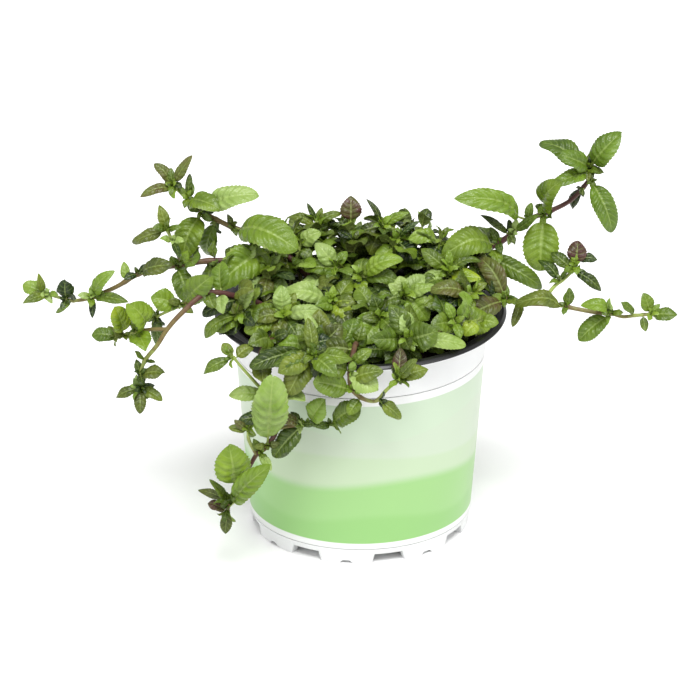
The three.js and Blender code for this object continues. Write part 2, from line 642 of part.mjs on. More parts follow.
function edgeOf(leaf) {
  if (leaf.length < SMALL_LEAF) return EDGE_PLAIN;
  return leaf.length < LARGE_LEAF ? EDGE_SMALL : EDGE_LARGE;
}

// The two faces and the edge of a blade. The faces share their triangles, each a list of three rim points.
function bladeSolid(leaf, flat, rimCount, faces, grow) {
  const lift = leaf.up.clone().multiplyScalar(BLADE / 2 + grow);
  const points = flat.flatMap((p) => [p.clone().add(lift), p.clone().sub(lift)]);
  const triangles = faces.flatMap(([a, b, c]) => [[2 * a, 2 * b, 2 * c], [2 * a + 1, 2 * c + 1, 2 * b + 1]]);
  for (let i = 0; i < rimCount; i += 1) {
    const next = (i + 1) % rimCount;
    triangles.push([2 * i, 2 * i + 1, 2 * next + 1], [2 * i, 2 * next + 1, 2 * next]);
  }
  return solidOf(points, triangles);
}

function budSolid(leaf, start, grow) {
  const half = leaf.width / 2 + grow;
  const flat = [leafPoint(leaf, start, 0), leafPoint(leaf, BUD_WIDEST, half), leafPoint(leaf, 1, 0),
    leafPoint(leaf, BUD_WIDEST, -half)];
  return bladeSolid(leaf, flat, 4, [[0, 1, 3], [1, 2, 3]], grow);
}

// A leaf's solid. start is the share of its length where it begins, and grow makes it larger all round.
function leafSolid(leaf, start = 0, grow = 0) {
  if (leaf.length < TINY_LEAF) return budSolid(leaf, start, grow);
  const rows = [[Math.max(start, NECK_SHARE), NECK / 2]];
  edgeOf(leaf).forEach(([along, share]) => rows.push([along, share * leaf.width / 2]));
  const neck = start < NECK_SHARE ? 1 : 0;
  if (neck) rows.unshift([start, NECK / 2]);
  const right = rows.map(([along, half]) => leafPoint(leaf, along, half + grow));
  const left = rows.map(([along, half]) => leafPoint(leaf, along, -half - grow));
  const rim = [...right, leafPoint(leaf, 1 + grow / leaf.length, 0), ...left.reverse()];
  const count = rim.length;
  const faces = neck ? [[0, 1, count - 2], [0, count - 2, count - 1]] : [];
  for (let i = neck; i + 1 < count - neck; i += 1) {
    faces.push([count, i, i + 1]);
  }
  faces.push([count, count - 1 - neck, neck]);
  return bladeSolid(leaf, [...rim, leafPoint(leaf, RIB_SHARE, 0)], count, faces, grow);
}

// ---- placing, with a record of what stands where ----
const placed = [];

function boxesMeet(a, b) {
  return [0, 1, 2].every((k) => a.min[k] <= b.max[k] && b.min[k] <= a.max[k]);
}

function place(solid, owner) {
  placed.push({ solid, owner, box: solid.boundingBox() });
  return solid;
}

function isClear(guard, isTested) {
  const box = guard.boundingBox();
  return placed.every((other) => !isTested(other.owner) || !boxesMeet(box, other.box)
    || guard.intersect(other.solid).isEmpty());
}

// Fuses the first bend of the leaf that stands clear to its stem, or leaves the leaf out.
function growLeaf(stem, leaf) {
  const own = `${stem.name} leaves`;
  for (const bend of BENDS) {
    const tried = bent(leaf, bend);
    const fromOthers = leafSolid(tried, GUARD_FROM_OTHERS, GUARD);
    const fromOwn = leafSolid(tried, GUARD_FROM_OWN, GUARD);
    if (isClear(fromOthers, (owner) => owner !== stem.name && owner !== own)
      && isClear(fromOwn, (owner) => owner === own)) {
      stem.solids.push(place(leafSolid(tried), own));
      return;
    }
  }
}

function growLimbs(name, limbs) {
  const stem = { name, solids: [], leaves: [], pairs: [] };
  for (const limb of limbs) {
    const points = limb.path.map(vector);
    if (limb.root) points.unshift(new THREE.Vector3(limb.root[0], limb.root[1], ROOT_TOP));
    const shift = limb.root ? 1 : 0;
    const line = limbPoints(curveOf(points), limb.root);
    stem.solids.push(place(tube(line, limb.thick), name));
    for (const [at, tip, width, arch, lean = FACE_LEAN] of limb.leaves) {
      const root = pointOnTube(line, limb.root, (at + shift) / (points.length - 1));
      const face = new THREE.Vector3(0, -Math.sin(degrees(lean)), Math.cos(degrees(lean)));
      stem.leaves.push(makeLeaf(root, vector(tip), width, arch, face));
    }
  }
  return stem;
}

function growShoot(name, shoot, pairs) {
  const base = new THREE.Vector3(shoot.root[0], shoot.root[1], ROOT_TOP);
  const end = vector(shoot.tip);
  const middle = base.clone().lerp(end, 0.5);
  middle.z += SHOOT_RISE;
  const path = [middle.toArray(), shoot.tip];
  const stem = growLimbs(name, [{ root: shoot.root, thick: SHOOT_THICK, path, leaves: shoot.leaves }]);
  const curve = curveOf([base, middle, end]);
  const line = limbPoints(curve, shoot.root);
  let turn = 2 * Math.PI * random();
  for (const { share, length, lift } of pairs) {
    const root = pointOnTube(line, shoot.root, share);
    const ahead = curve.getTangent(share);
    const first = new THREE.Vector3(1, 0, 0).addScaledVector(ahead, -ahead.x).normalize();
    for (const half of [0, Math.PI]) {
      const out = first.clone().applyAxisAngle(ahead, turn + half + spread(PAIR_TURN_SPREAD));
      const rise = degrees(lift + spread(PAIR_LIFT_SPREAD));
      const along = out.multiplyScalar(Math.cos(rise)).addScaledVector(ahead, Math.sin(rise));
      const reach = length * (1 + spread(PAIR_LENGTH_SPREAD));
      const tip = root.clone().addScaledVector(along, reach);
      stem.pairs.push(makeLeaf(root, tip, PAIR_SHAPE * reach, PAIR_ARCH, ahead));
    }
    turn += Math.PI / 2 + spread(PAIR_TURN_SPREAD);
  }
  return stem;
}

function backShoots() {
  const shoots = [];
  for (let i = 0; i < BACK_SHOOTS; i += 1) {
    const azimuth = degrees(THREE.MathUtils.lerp(BACK_ARC[0], BACK_ARC[1], (i + 0.5) / BACK_SHOOTS));
    const ring = BACK_RINGS[i % BACK_RINGS.length];
    const onCircle = (reach) => [reach * Math.cos(azimuth), reach * Math.sin(azimuth)];
    const height = ring.height + spread(BACK_HEIGHT_SPREAD);
    shoots.push({ root: onCircle(ring.root), tip: [...onCircle(ring.tip), height], leaves: [] });
  }
  return shoots;
}

// ---- the whole plant ----
const pot = makePot();
const sleeve = makeSleeve();
place(pot, 'pot');
place(sleeve, 'label_sleeve');

const shoots = [...FRONT_SHOOTS, ...backShoots()];
const stems = Object.entries(LONG_STEMS).map(([name, limbs]) => growLimbs(name, limbs));
shoots.forEach((shoot, i) => {
  const pairs = i < FRONT_SHOOTS.length ? FRONT_PAIRS : BACK_PAIRS;
  stems.push(growShoot(`shoot_${String(i + 1).padStart(2, '0')}`, shoot, pairs));
});
const holeRadius = (thick) => (thick / Math.SQRT2 + CLEARANCE) / Math.cos(Math.PI / HOLE_SIDES);
const soil = makeSoil([
  ...Object.values(LONG_STEMS).map(([limb]) => [...limb.root, holeRadius(limb.thick[0])]),
  ...shoots.map(({ root }) => [...root, holeRadius(SHOOT_THICK[0])]),
]);
place(soil, 'soil');
for (const kind of ['leaves', 'pairs']) {
  stems.forEach((stem) => stem[kind].forEach((leaf) => growLeaf(stem, leaf)));
}

// ---- scene graph ----
const plant = new THREE.Group();

function addMesh(name, solid, color, roughness) {
  const mesh = solid.getMesh();
  const geometry = new THREE.BufferGeometry();
  geometry.setAttribute('position', new THREE.BufferAttribute(mesh.vertProperties, 3));
  geometry.setIndex(new THREE.BufferAttribute(mesh.triVerts, 1));
  geometry.computeVertexNormals();
  const node = new THREE.Mesh(geometry, new THREE.MeshStandardMaterial({ color, roughness, metalness: 0 }));
  node.name = name;
  plant.add(node);
}

addMesh('pot', pot, COLOURS.pot, 0.4);
addMesh('label_sleeve', sleeve, COLOURS.sleeve, 0.45);
addMesh('soil', soil, COLOURS.soil, 0.95);
for (const stem of stems) {
  const leafy = stem.solids.reduce((whole, solid) => whole.add(solid));
  addMesh(stem.name, leafy, stem.name.startsWith('shoot') ? COLOURS.shoot : COLOURS.stem, 0.6);
}

export default plant;
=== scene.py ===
# Potted mint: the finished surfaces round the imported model. Every leafy stem, the pot, its sleeve and the
# soil get a finer piece that stands where the solid does. Lengths are millimetres until a mesh is made.
import copy
import math

import bpy
import numpy as np
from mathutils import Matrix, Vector
from mathutils.bvhtree import BVHTree


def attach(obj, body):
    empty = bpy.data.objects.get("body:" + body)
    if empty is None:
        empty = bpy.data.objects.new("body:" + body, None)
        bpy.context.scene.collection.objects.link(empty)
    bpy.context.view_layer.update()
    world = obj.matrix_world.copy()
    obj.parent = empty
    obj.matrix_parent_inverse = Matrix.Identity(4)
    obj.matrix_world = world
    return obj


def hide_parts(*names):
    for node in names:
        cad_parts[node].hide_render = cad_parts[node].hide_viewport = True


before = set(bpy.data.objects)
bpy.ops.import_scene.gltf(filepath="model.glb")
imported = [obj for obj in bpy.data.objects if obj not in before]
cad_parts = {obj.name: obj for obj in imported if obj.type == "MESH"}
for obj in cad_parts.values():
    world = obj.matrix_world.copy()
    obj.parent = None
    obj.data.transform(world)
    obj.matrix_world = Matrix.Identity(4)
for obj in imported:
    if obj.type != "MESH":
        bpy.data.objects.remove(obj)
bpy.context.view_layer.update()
MM = 0.001

# ---- pot ----
POT_HEIGHT = 95
LIP_RADIUS = 60
WALL_FOOT_RADIUS = 45.4  # outer radius of the sleeved wall at z = 0
WALL_SLOPE = 0.078  # and by how much it grows a millimetre
WALL_THICKNESS = 1.2
COLLAR_BOTTOM = 77.3
PLATE_BOTTOM = 4.2
PLATE_TOP = 5.6
PAD_RADIUS = 12
FOOT_WIDTH = 3.4
FOOT_COUNT = 8
FOOT_GAP_ANGLE = 15  # degrees of each gap between two feet
FOOT_GAP_AZIMUTH = 15  # degrees of the first gap, counted from the front to the right
FOOT_STEP_ANGLE = 4  # degrees of the low step in each foot
FOOT_STEP_HEIGHT = 1.4
FOOT_SLANT = 1.2  # how much wider both are at the bottom, on each side
DRAIN_COUNT = 6
DRAIN_RADIUS = 3.2
DRAIN_CIRCLE = 30
DRAIN_SIDES = 40
TURN_STEPS = 480  # columns of every turned surface
SHARP_ANGLE = 50  # degrees from which the shading of two faces is split
AXIS = 0.01  # radius of the points that stand for the middle of a turned surface
FLARE_START = 90
# The lip's corners, from the flare outwards and back in: radius, height and rounding.
LIP_UNDERSIDE = [
    (54.4, 92.2, 0.5), (57, 93.5, 0.4), (LIP_RADIUS - 0.2, 93.2, 0.25), (LIP_RADIUS, 93.5, 0.1),
]
LIP_TOP = [
    (LIP_RADIUS, 94, 0.2), (LIP_RADIUS - 1.1, POT_HEIGHT, 0.25), (LIP_RADIUS - 2, POT_HEIGHT - 0.4, 0.15),
    (56, POT_HEIGHT - 0.5, 0.5), (53.4, 93.2, 0.8),
]

# ---- sleeve and soil ----
SLEEVE_BOTTOM = 7
SLEEVE_TOP = 77
SLEEVE_THICKNESS = 0.5
SLEEVE_ROUNDING = 0.12
CLEARANCE = 0.3  # between pieces that touch
SOIL_TOP = 80
SOIL_EDGE_DROP = 1.5  # how much lower the soil is at the wall
SOIL_RINGS = 64
SOIL_COLUMNS = 200
SOIL_SEED = 31
# The soil's lumps are sums of waves: their height, the most that a wave is turned in 1 mm, and how many.
COARSE_LUMPS = (3.2, 0.35, 14)
FINE_LUMPS = (2.2, 1.6, 24)
CRUMB_COUNT = 900
CRUMB_SIZE = (0.4, 1.5)
CRUMB_SHAPE = (0.65, 1.15)  # how far each point of a crumb is from its middle, as a share of its size
CRUMB_FLATNESS = 0.75
CRUMB_ROWS = 6
CRUMB_COLUMNS = 7

# ---- stems ----
ROOT_TOP = 84  # every stem is straight and upright up to here
BURIED = 72  # where the shown stem ends in the soil
PACKED_STEP = 13  # length of one straight piece of a packed stem
FINE_STEP = 1.6  # and of the shown stem
STEM_SIDES = 12
STEM_SQUARENESS = 0.14  # how much flatter a stem's four sides are than round ones
STEM_SPARE = 1.05  # how much thicker a shown stem is than its packed one
SWELLING = 0.22  # how much thicker a stem is where a leaf leaves it
PAIR_SWELLING = 0.25
SWELLING_LENGTH = 1.3
BARK_SPREAD = 0.06
FACE_LEAN = 38  # degrees by which a listed leaf's upper side leans to the front

# ---- leaves ----
NECK = 0.9  # width of a leaf where it leaves its stem
NECK_SHARE = 0.14  # share of a leaf's length that is its stalk
PACKED_FOLD = 0.25  # how steeply the halves of a packed blade rise from its middle
BLADE = 0.34  # thickness in the middle
VEIN_SKEW = 1.75  # how much the side veins lean to the tip
VEIN_CURVE = 1.3  # and how much they bend on the way
# Leaves shorter than this have this many pairs of side veins, and columns of faces on each side.
LEAF_DETAIL = [(7, 3, 2), (12, 5, 4), (17, 6, 5), (24, 7, 5), (math.inf, 8, 5)]
QUILT = 0.05  # height of the swellings between the side veins, as a share of the leaf's length
TOOTH_DEPTH = (0.03, 0.045)  # share of half the width
TOOTH_LEAN = 0.18  # how far the teeth point to the tip, as a share of the room between them
BASE_POWER = (0.45, 0.6)  # less is a rounder base
TIP_POWER = (0.6, 0.82)  # and a rounder tip
BLUNT_LENGTH = 17  # leaves longer than this have rounder tips,
BLUNT_SHARE = 0.78  # with this share of the power
DROOP = (0, 0.16)  # how far the tip bends down, as a share of the length
TWIST = (-0.3, 0.3)
WAVE = (0.04, 0.12)  # height of the margin's waves, as a share of the width
SWAY = (-0.05, 0.05)  # how far the middle swings sideways, as a share of the length
LEAF_STALK_SIDES = 6
LEAF_STALK_BARK = 0.15
LEAF_STALK_RADIUS = 0.16  # of the shortest leaves
LEAF_STALK_GROWTH = 0.018  # and how much it grows a millimetre of the leaf's length
LEAF_STALK_MOST = 0.5
LOOK_SPREAD = (0.14, 0.15, 0.08)  # how much leaves of one kind differ in light, yellow and purple

# The rim's widest point on packed leaves shorter than this: share of their length and of half their width.
PACKED_RIMS = [(11.4, 0.45, 1), (17.5, 0.36, 1), (24, 0.27, 1), (math.inf, 0.38, 1.06)]

# Kinds of leaf: how light, how yellow and how purple.
GREEN = (0.42, 0.15, 0)
DARK = (0.12, 0.05, 0.04)
PALE = (0.94, 0.08, 0)
LIGHT = (0.7, 0.2, 0)
YELLOW = (0.75, 1, 0)
OLIVE = (0.36, 0.35, 0.25)
BROWN = (0.62, 0.15, 0.72)
PURPLE = (0.35, 0.05, 1)
# DIM, the green and dark kinds alone, is painted shade on the filler leaves low and deep in the bush.
DIM = [GREEN, GREEN, GREEN, DARK, DARK]
MIXED = [*DIM, OLIVE, LIGHT, PALE]

# Long stems. A limb starts at root [x, y] in the soil, or at the first point of its path on another limb of
# the same stem. bark is how brown it is at the start and the end. A leaf is [place, tip, width, arch], and
# where they aren't the usual ones its kind and its face's lean. Its place counts the path's points from 0.
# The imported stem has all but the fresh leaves. Within cover of the pot's axis small leaves hide the stem.
LONG_STEMS = {
    "stem_upper_left": [{
        "root": [-12, 10], "thick": [2.8, 1.5], "bark": [1, 0.15], "cover": 44,
        "path": [
            [-25, 8, 110], [-45, 12, 122], [-55, 14, 126], [-65, 16, 131], [-71, 18, 136], [-77, 20, 141],
        ],
        "leaves": [
            [3.2, [-42, 8, 142], 11, 0.14, PALE, 45], [1.75, [-27, -8, 126], 16, 0.16, LIGHT, 42],
            [0.5, [-63, -6, 117], 15, 0.14, LIGHT, 45], [5, [-69, 18, 155], 5, 0.05, BROWN],
            [5, [-84, 22, 150], 5, 0.05, BROWN], [4.9, [-90, 14, 139], 5, 0.1, BROWN],
            [4, [-70, 20, 146], 3, 0.05, DARK], [3.9, [-57, 6, 135], 11, 0.1, GREEN],
            [3, [-73, 4, 116], 12, 0.1, GREEN], [2.4, [-64, 20, 109], 8, 0.1, GREEN, 40],
        ],
    }],
    "stem_left": [{
        "root": [-24, 2], "thick": [2.6, 1.4], "bark": [0.9, 0.25], "cover": 72,
        "path": [
            [-43, 0, 113], [-58, 0, 116], [-73, 0, 114], [-82, 1, 112], [-91, 2, 109], [-100, 3, 103],
            [-110, 4, 98], [-116, 5, 96], [-121, 6, 96], [-130, 8, 98],
        ],
        "leaves": [
            [9, [-139, 10, 101], 7, 0.1, LIGHT], [9, [-132, 5, 108], 3.5, 0.05, OLIVE],
            [8.8, [-139, 2, 94], 4.5, 0.1, OLIVE], [8, [-121, 3, 106], 7, 0.05],
            [7.4, [-118, 1, 102], 2.5, 0], [7.5, [-125, 1, 92], 2.5, 0], [6, [-101, 1, 111], 7, 0.2],
            [6.1, [-97, -7, 103], 5, 0.1], [6, [-110, -2, 91], 3, 0.05],
            [4, [-77, -8, 118], 8, 0.12, OLIVE], [4.6, [-97, 6, 113], 4, 0.05],
            [2.2, [-71, -11, 103], 9, 0.1], [1.3, [-60, 8, 103], 9, 0.1],
            [2, [-71, -3, 121], 5, 0.05, LIGHT],
        ],
    }, {
        "thick": [1.6, 1.2], "bark": [0.5, 0.1],
        "path": [[-73, 0, 114], [-76, 3, 121], [-79, 6, 127]],
        "leaves": [
            [2, [-82, 8, 137], 5, 0.05, OLIVE], [2, [-94, 8, 121], 6, 0.1, OLIVE],
            [1.3, [-74, -7, 121], 3, 0, DARK],
        ],
    }],
    "stem_lower_left": [{
        "root": [-20, -13], "thick": [2.8, 1.5], "bark": [1.25, 0], "cover": 68,
        "path": [
            [-38, -21, 104], [-53, -26, 112], [-63, -30, 114], [-72, -35, 108], [-78, -38, 102],
            [-82, -40, 96], [-87, -42, 90], [-89, -43, 84], [-89, -44, 79],
        ],
        "leaves": [
            [8, [-89, -50, 70], 5, 0.05, OLIVE], [8, [-99, -43, 74], 5, 0.1, OLIVE],
            [8, [-80, -48, 75], 5, 0.1, OLIVE], [7, [-79, -50, 88], 7, 0.1, OLIVE],
            [6, [-91, -44, 95], 2.5, 0], [6, [-82, -48, 88], 2.5, 0],
            [0.6, [-64, -30, 106], 7.5, 0.1, DARK],
        ],
    }, {
        "thick": [1.8, 1.3], "bark": [0.5, 0.1],
        "path": [[-78, -38, 102], [-85, -36, 101], [-91, -34, 99], [-98, -32, 96]],
        "leaves": [
            [3, [-109, -30, 96], 7, 0.1, GREEN], [2.7, [-99, -40, 113], 9, 0.1, YELLOW],
            [1.6, [-91, -46, 116], 12, 0.14, LIGHT], [2, [-87, -50, 102], 9, 0.1, LIGHT],
        ],
    }, {
        "thick": [1.7, 1.2], "bark": [0.7, 0.1],
        "path": [[-63, -30, 114], [-72, -22, 106], [-83, -16, 98]],
        "leaves": [
            [1, [-62, -33, 122], 10.5, 0.05, LIGHT, 55], [1.2, [-85, -22, 109], 9.5, 0.1, LIGHT, 50],
            [2, [-83, -14, 84], 5, 0.05], [2, [-93, -12, 101], 5, 0.05],
        ],
    }],
    "stem_hanging": [{
        "root": [-21, -27], "thick": [2.8, 1.5], "bark": [0.9, 0.8],
        "path": [
            [-32, -39, 99], [-40, -51, 97], [-36, -58, 80], [-34, -60, 68], [-38, -60, 60], [-42, -59, 56],
            [-46, -58, 48], [-50, -57, 41], [-53, -56, 34], [-54, -55, 29],
        ],
        "leaves": [
            [3.9, [-35, -71, 96], 15, 0.08, PALE, 60], [7.2, [-53, -62, 62], 15, 0.1, LIGHT],
            [8.7, [-36, -71, 57], 10, 0.1, LIGHT, 50], [9, [-55, -58, 20], 5, 0.05, OLIVE],
            [9, [-62, -52, 31], 5, 0.1, PURPLE], [8, [-66, -50, 36], 4, 0.05, OLIVE],
            [8.2, [-61, -59, 45], 4, 0.05, GREEN], [8, [-52, -66, 37], 4, 0.05],
            [4.7, [-36, -68, 53], 4, 0.05], [1.9, [-53, -56, 81], 7, 0.1, PALE],
            [1.7, [-22, -68, 84], 8, 0.12, PALE], [2.6, [-49, -63, 73], 7, 0.1, DARK],
            [0.4, [-43, -58, 105], 9, 0.1, GREEN, 50], [1.2, [-39, -67, 91], 8, 0.1, OLIVE, 50],
        ],
    }, {
        "thick": [1.6, 1.2], "bark": [0.4, 0.1],
        "path": [[-42, -59, 56], [-45, -62, 64], [-45, -64, 69]],
        "leaves": [
            [2, [-53, -63, 70], 4, 0.05, OLIVE], [2, [-47, -64, 78], 4, 0.05, BROWN],
            [2, [-40, -70, 76], 4, 0.05],
        ],
    }, {
        "thick": [1.7, 1.2], "bark": [0.5, 0.1],
        "path": [[-34, -60, 68], [-24, -60, 70], [-17, -59, 70], [-12, -60, 70]],
        "leaves": [
            [1, [-35, -66, 76], 6, 0.1, BROWN], [1.1, [-36, -65, 58], 9, 0.1, GREEN, 45],
            [1.4, [-14, -64, 83], 9, 0.1, PALE, 50], [3, [0, -67, 81], 10, 0.14, GREEN, 50],
        ],
    }, {
        "thick": [1.5, 1.1], "bark": [0.2, 0],
        "path": [[-36, -58, 80], [-46, -60, 93], [-51, -61, 100]],
        "leaves": [
            [2, [-63, -62, 93], 5.5, 0.14, GREEN], [2, [-55, -58, 105], 5, 0.05, OLIVE],
            [1.9, [-43, -57, 103], 6, 0.1, OLIVE],
        ],
    }],
    "stem_front": [{
        "root": [-1, -30], "thick": [2.3, 1.4], "bark": [0.9, 0.1],
        "path": [
            [-2, -50, 101], [-4, -64, 97], [-4, -67, 90], [0, -67, 85], [6, -66, 83], [10, -67, 88],
            [15, -67, 93],
        ],
        "leaves": [
            [6, [27, -64, 96], 7, 0.1, OLIVE], [6, [16, -61, 104], 6, 0.05, PURPLE],
            [6, [21, -72, 104], 5, 0.05, OLIVE], [4.2, [16, -66, 75], 6, 0.1, OLIVE],
            [3, [-5, -71, 79], 6, 0.1], [2.3, [-19, -71, 94], 10.5, 0.1, GREEN, 55],
            [1.3, [7, -71, 90], 10.5, 0.1, PALE, 55], [0.9, [4, -62, 104], 5.5, 0.1, GREEN, 50],
        ],
        "fresh": [
            [1.2, [-14, -67, 99], 9, 0.12, GREEN, 50], [1.6, [9, -70, 98], 7.5, 0.1, OLIVE, 45],
        ],
    }],
    "stem_front_left": [{
        "root": [-23, -38], "thick": [2.3, 1.6], "bark": [0.4, 0.1],
        "path": [[-22, -42, 96], [-21, -54, 101], [-20, -61, 102], [-19, -66, 103]],
        "leaves": [
            [3, [-21, -61, 117], 5.5, 0.05, OLIVE], [3, [-35, -67, 99], 7, 0.1, GREEN, 45],
            [3, [-3, -67, 102], 7, 0.12, GREEN, 45], [2.9, [-9, -74, 96], 8.5, 0.1, LIGHT, 50],
            [1.2, [-45, -60, 93], 8, 0.12, DARK, 50], [1.8, [-24, -68, 90], 8.5, 0.1, GREEN, 50],
            [0.9, [-12, -54, 105], 7.5, 0.1, DARK, 45],
        ],
        "fresh": [
            [2.2, [-29, -69, 87], 10, 0.12, OLIVE, 50], [2.5, [-11, -70, 90], 9, 0.1, DARK, 50],
            [2.8, [-33, -70, 97], 9, 0.12, OLIVE, 55],
        ],
    }],
    "stem_upper_right": [{
        "root": [22, 8], "thick": [2.8, 1.6], "bark": [1, 0.85],
        "path": [
            [33, 9, 102], [48, 12, 113], [60, 14, 120], [65, 16, 124], [70, 18, 127], [79, 20, 130],
            [87, 22, 134], [94, 24, 142], [94, 24, 147],
        ],
        "leaves": [
            [8, [105, 20, 164], 12, 0.1, GREEN], [8, [85, 16, 162], 8.5, 0.1, GREEN],
            [7.7, [74, 32, 156], 10.5, 0.1, GREEN], [7.7, [81, 8, 150], 8, 0.1, LIGHT],
            [7.1, [104, 14, 123], 10, 0.12, GREEN], [6.6, [87, 30, 126], 5, 0.1],
            [4.9, [84, 6, 149], 12, 0.14, GREEN, 40], [3.8, [41, 2, 144], 11, 0.14, LIGHT, 40],
            [4.6, [74, 8, 108], 15, 0.1, LIGHT], [2.2, [51, 8, 133], 4, 0], [2.5, [69, 10, 136], 4, 0],
            [1.7, [34, 2, 118], 13, 0.2, LIGHT, 42], [1.1, [75, 6, 102], 9, 0.1, GREEN, 45],
            [1, [54, 4, 120], 9, 0.1, BROWN],
        ],
    }],
    "stem_right": [{
        "root": [33, -4], "thick": [2.4, 1.4], "bark": [0.7, 0.25],
        "path": [
            [45, -5, 98], [59, -6, 101], [66, -7, 100], [81, -9, 100], [87, -10, 99], [96, -12, 98],
            [102, -13, 98], [107, -14, 97], [112, -15, 98], [118, -16, 99],
        ],
        "leaves": [
            [6, [90, -18, 104], 7, 0.3, LIGHT], [6, [89, -18, 88], 9, 0.1, GREEN],
            [8, [106, -18, 105], 4, 0.05, GREEN], [9, [115, -15, 108], 6, 0.05, GREEN],
            [9, [129, -19, 100], 7, 0.1, GREEN], [8.5, [116, -20, 93], 3.5, 0],
            [3.6, [85, -11, 108], 4, 0.05], [3.5, [63, -15, 103], 8, 0.28, OLIVE],
            [2, [62, -13, 92], 4, 0.05], [1, [43, -20, 100], 9, 0.12, BROWN, 50],
            [1.3, [62, -14, 103], 4.5, 0.05], [1.1, [49, 2, 117], 8.5, 0.1, BROWN, 50],
        ],
    }, {
        "thick": [1.7, 1.3], "bark": [0.2, 0.1],
        "path": [[74, -8, 100], [79, 0, 104], [84, 3, 107], [87, 4, 110], [89, 5, 114]],
        "leaves": [
            [3.4, [89, 6, 122], 8, 0.05, PURPLE], [4, [97, 4, 115], 4.5, 0.1, DARK],
            [3, [99, 0, 103], 5, 0.1, DARK], [3, [78, 9, 115], 6, 0.1, DARK],
            [1.6, [73, 9, 111], 5, 0.1, DARK],
        ],
    }],
}

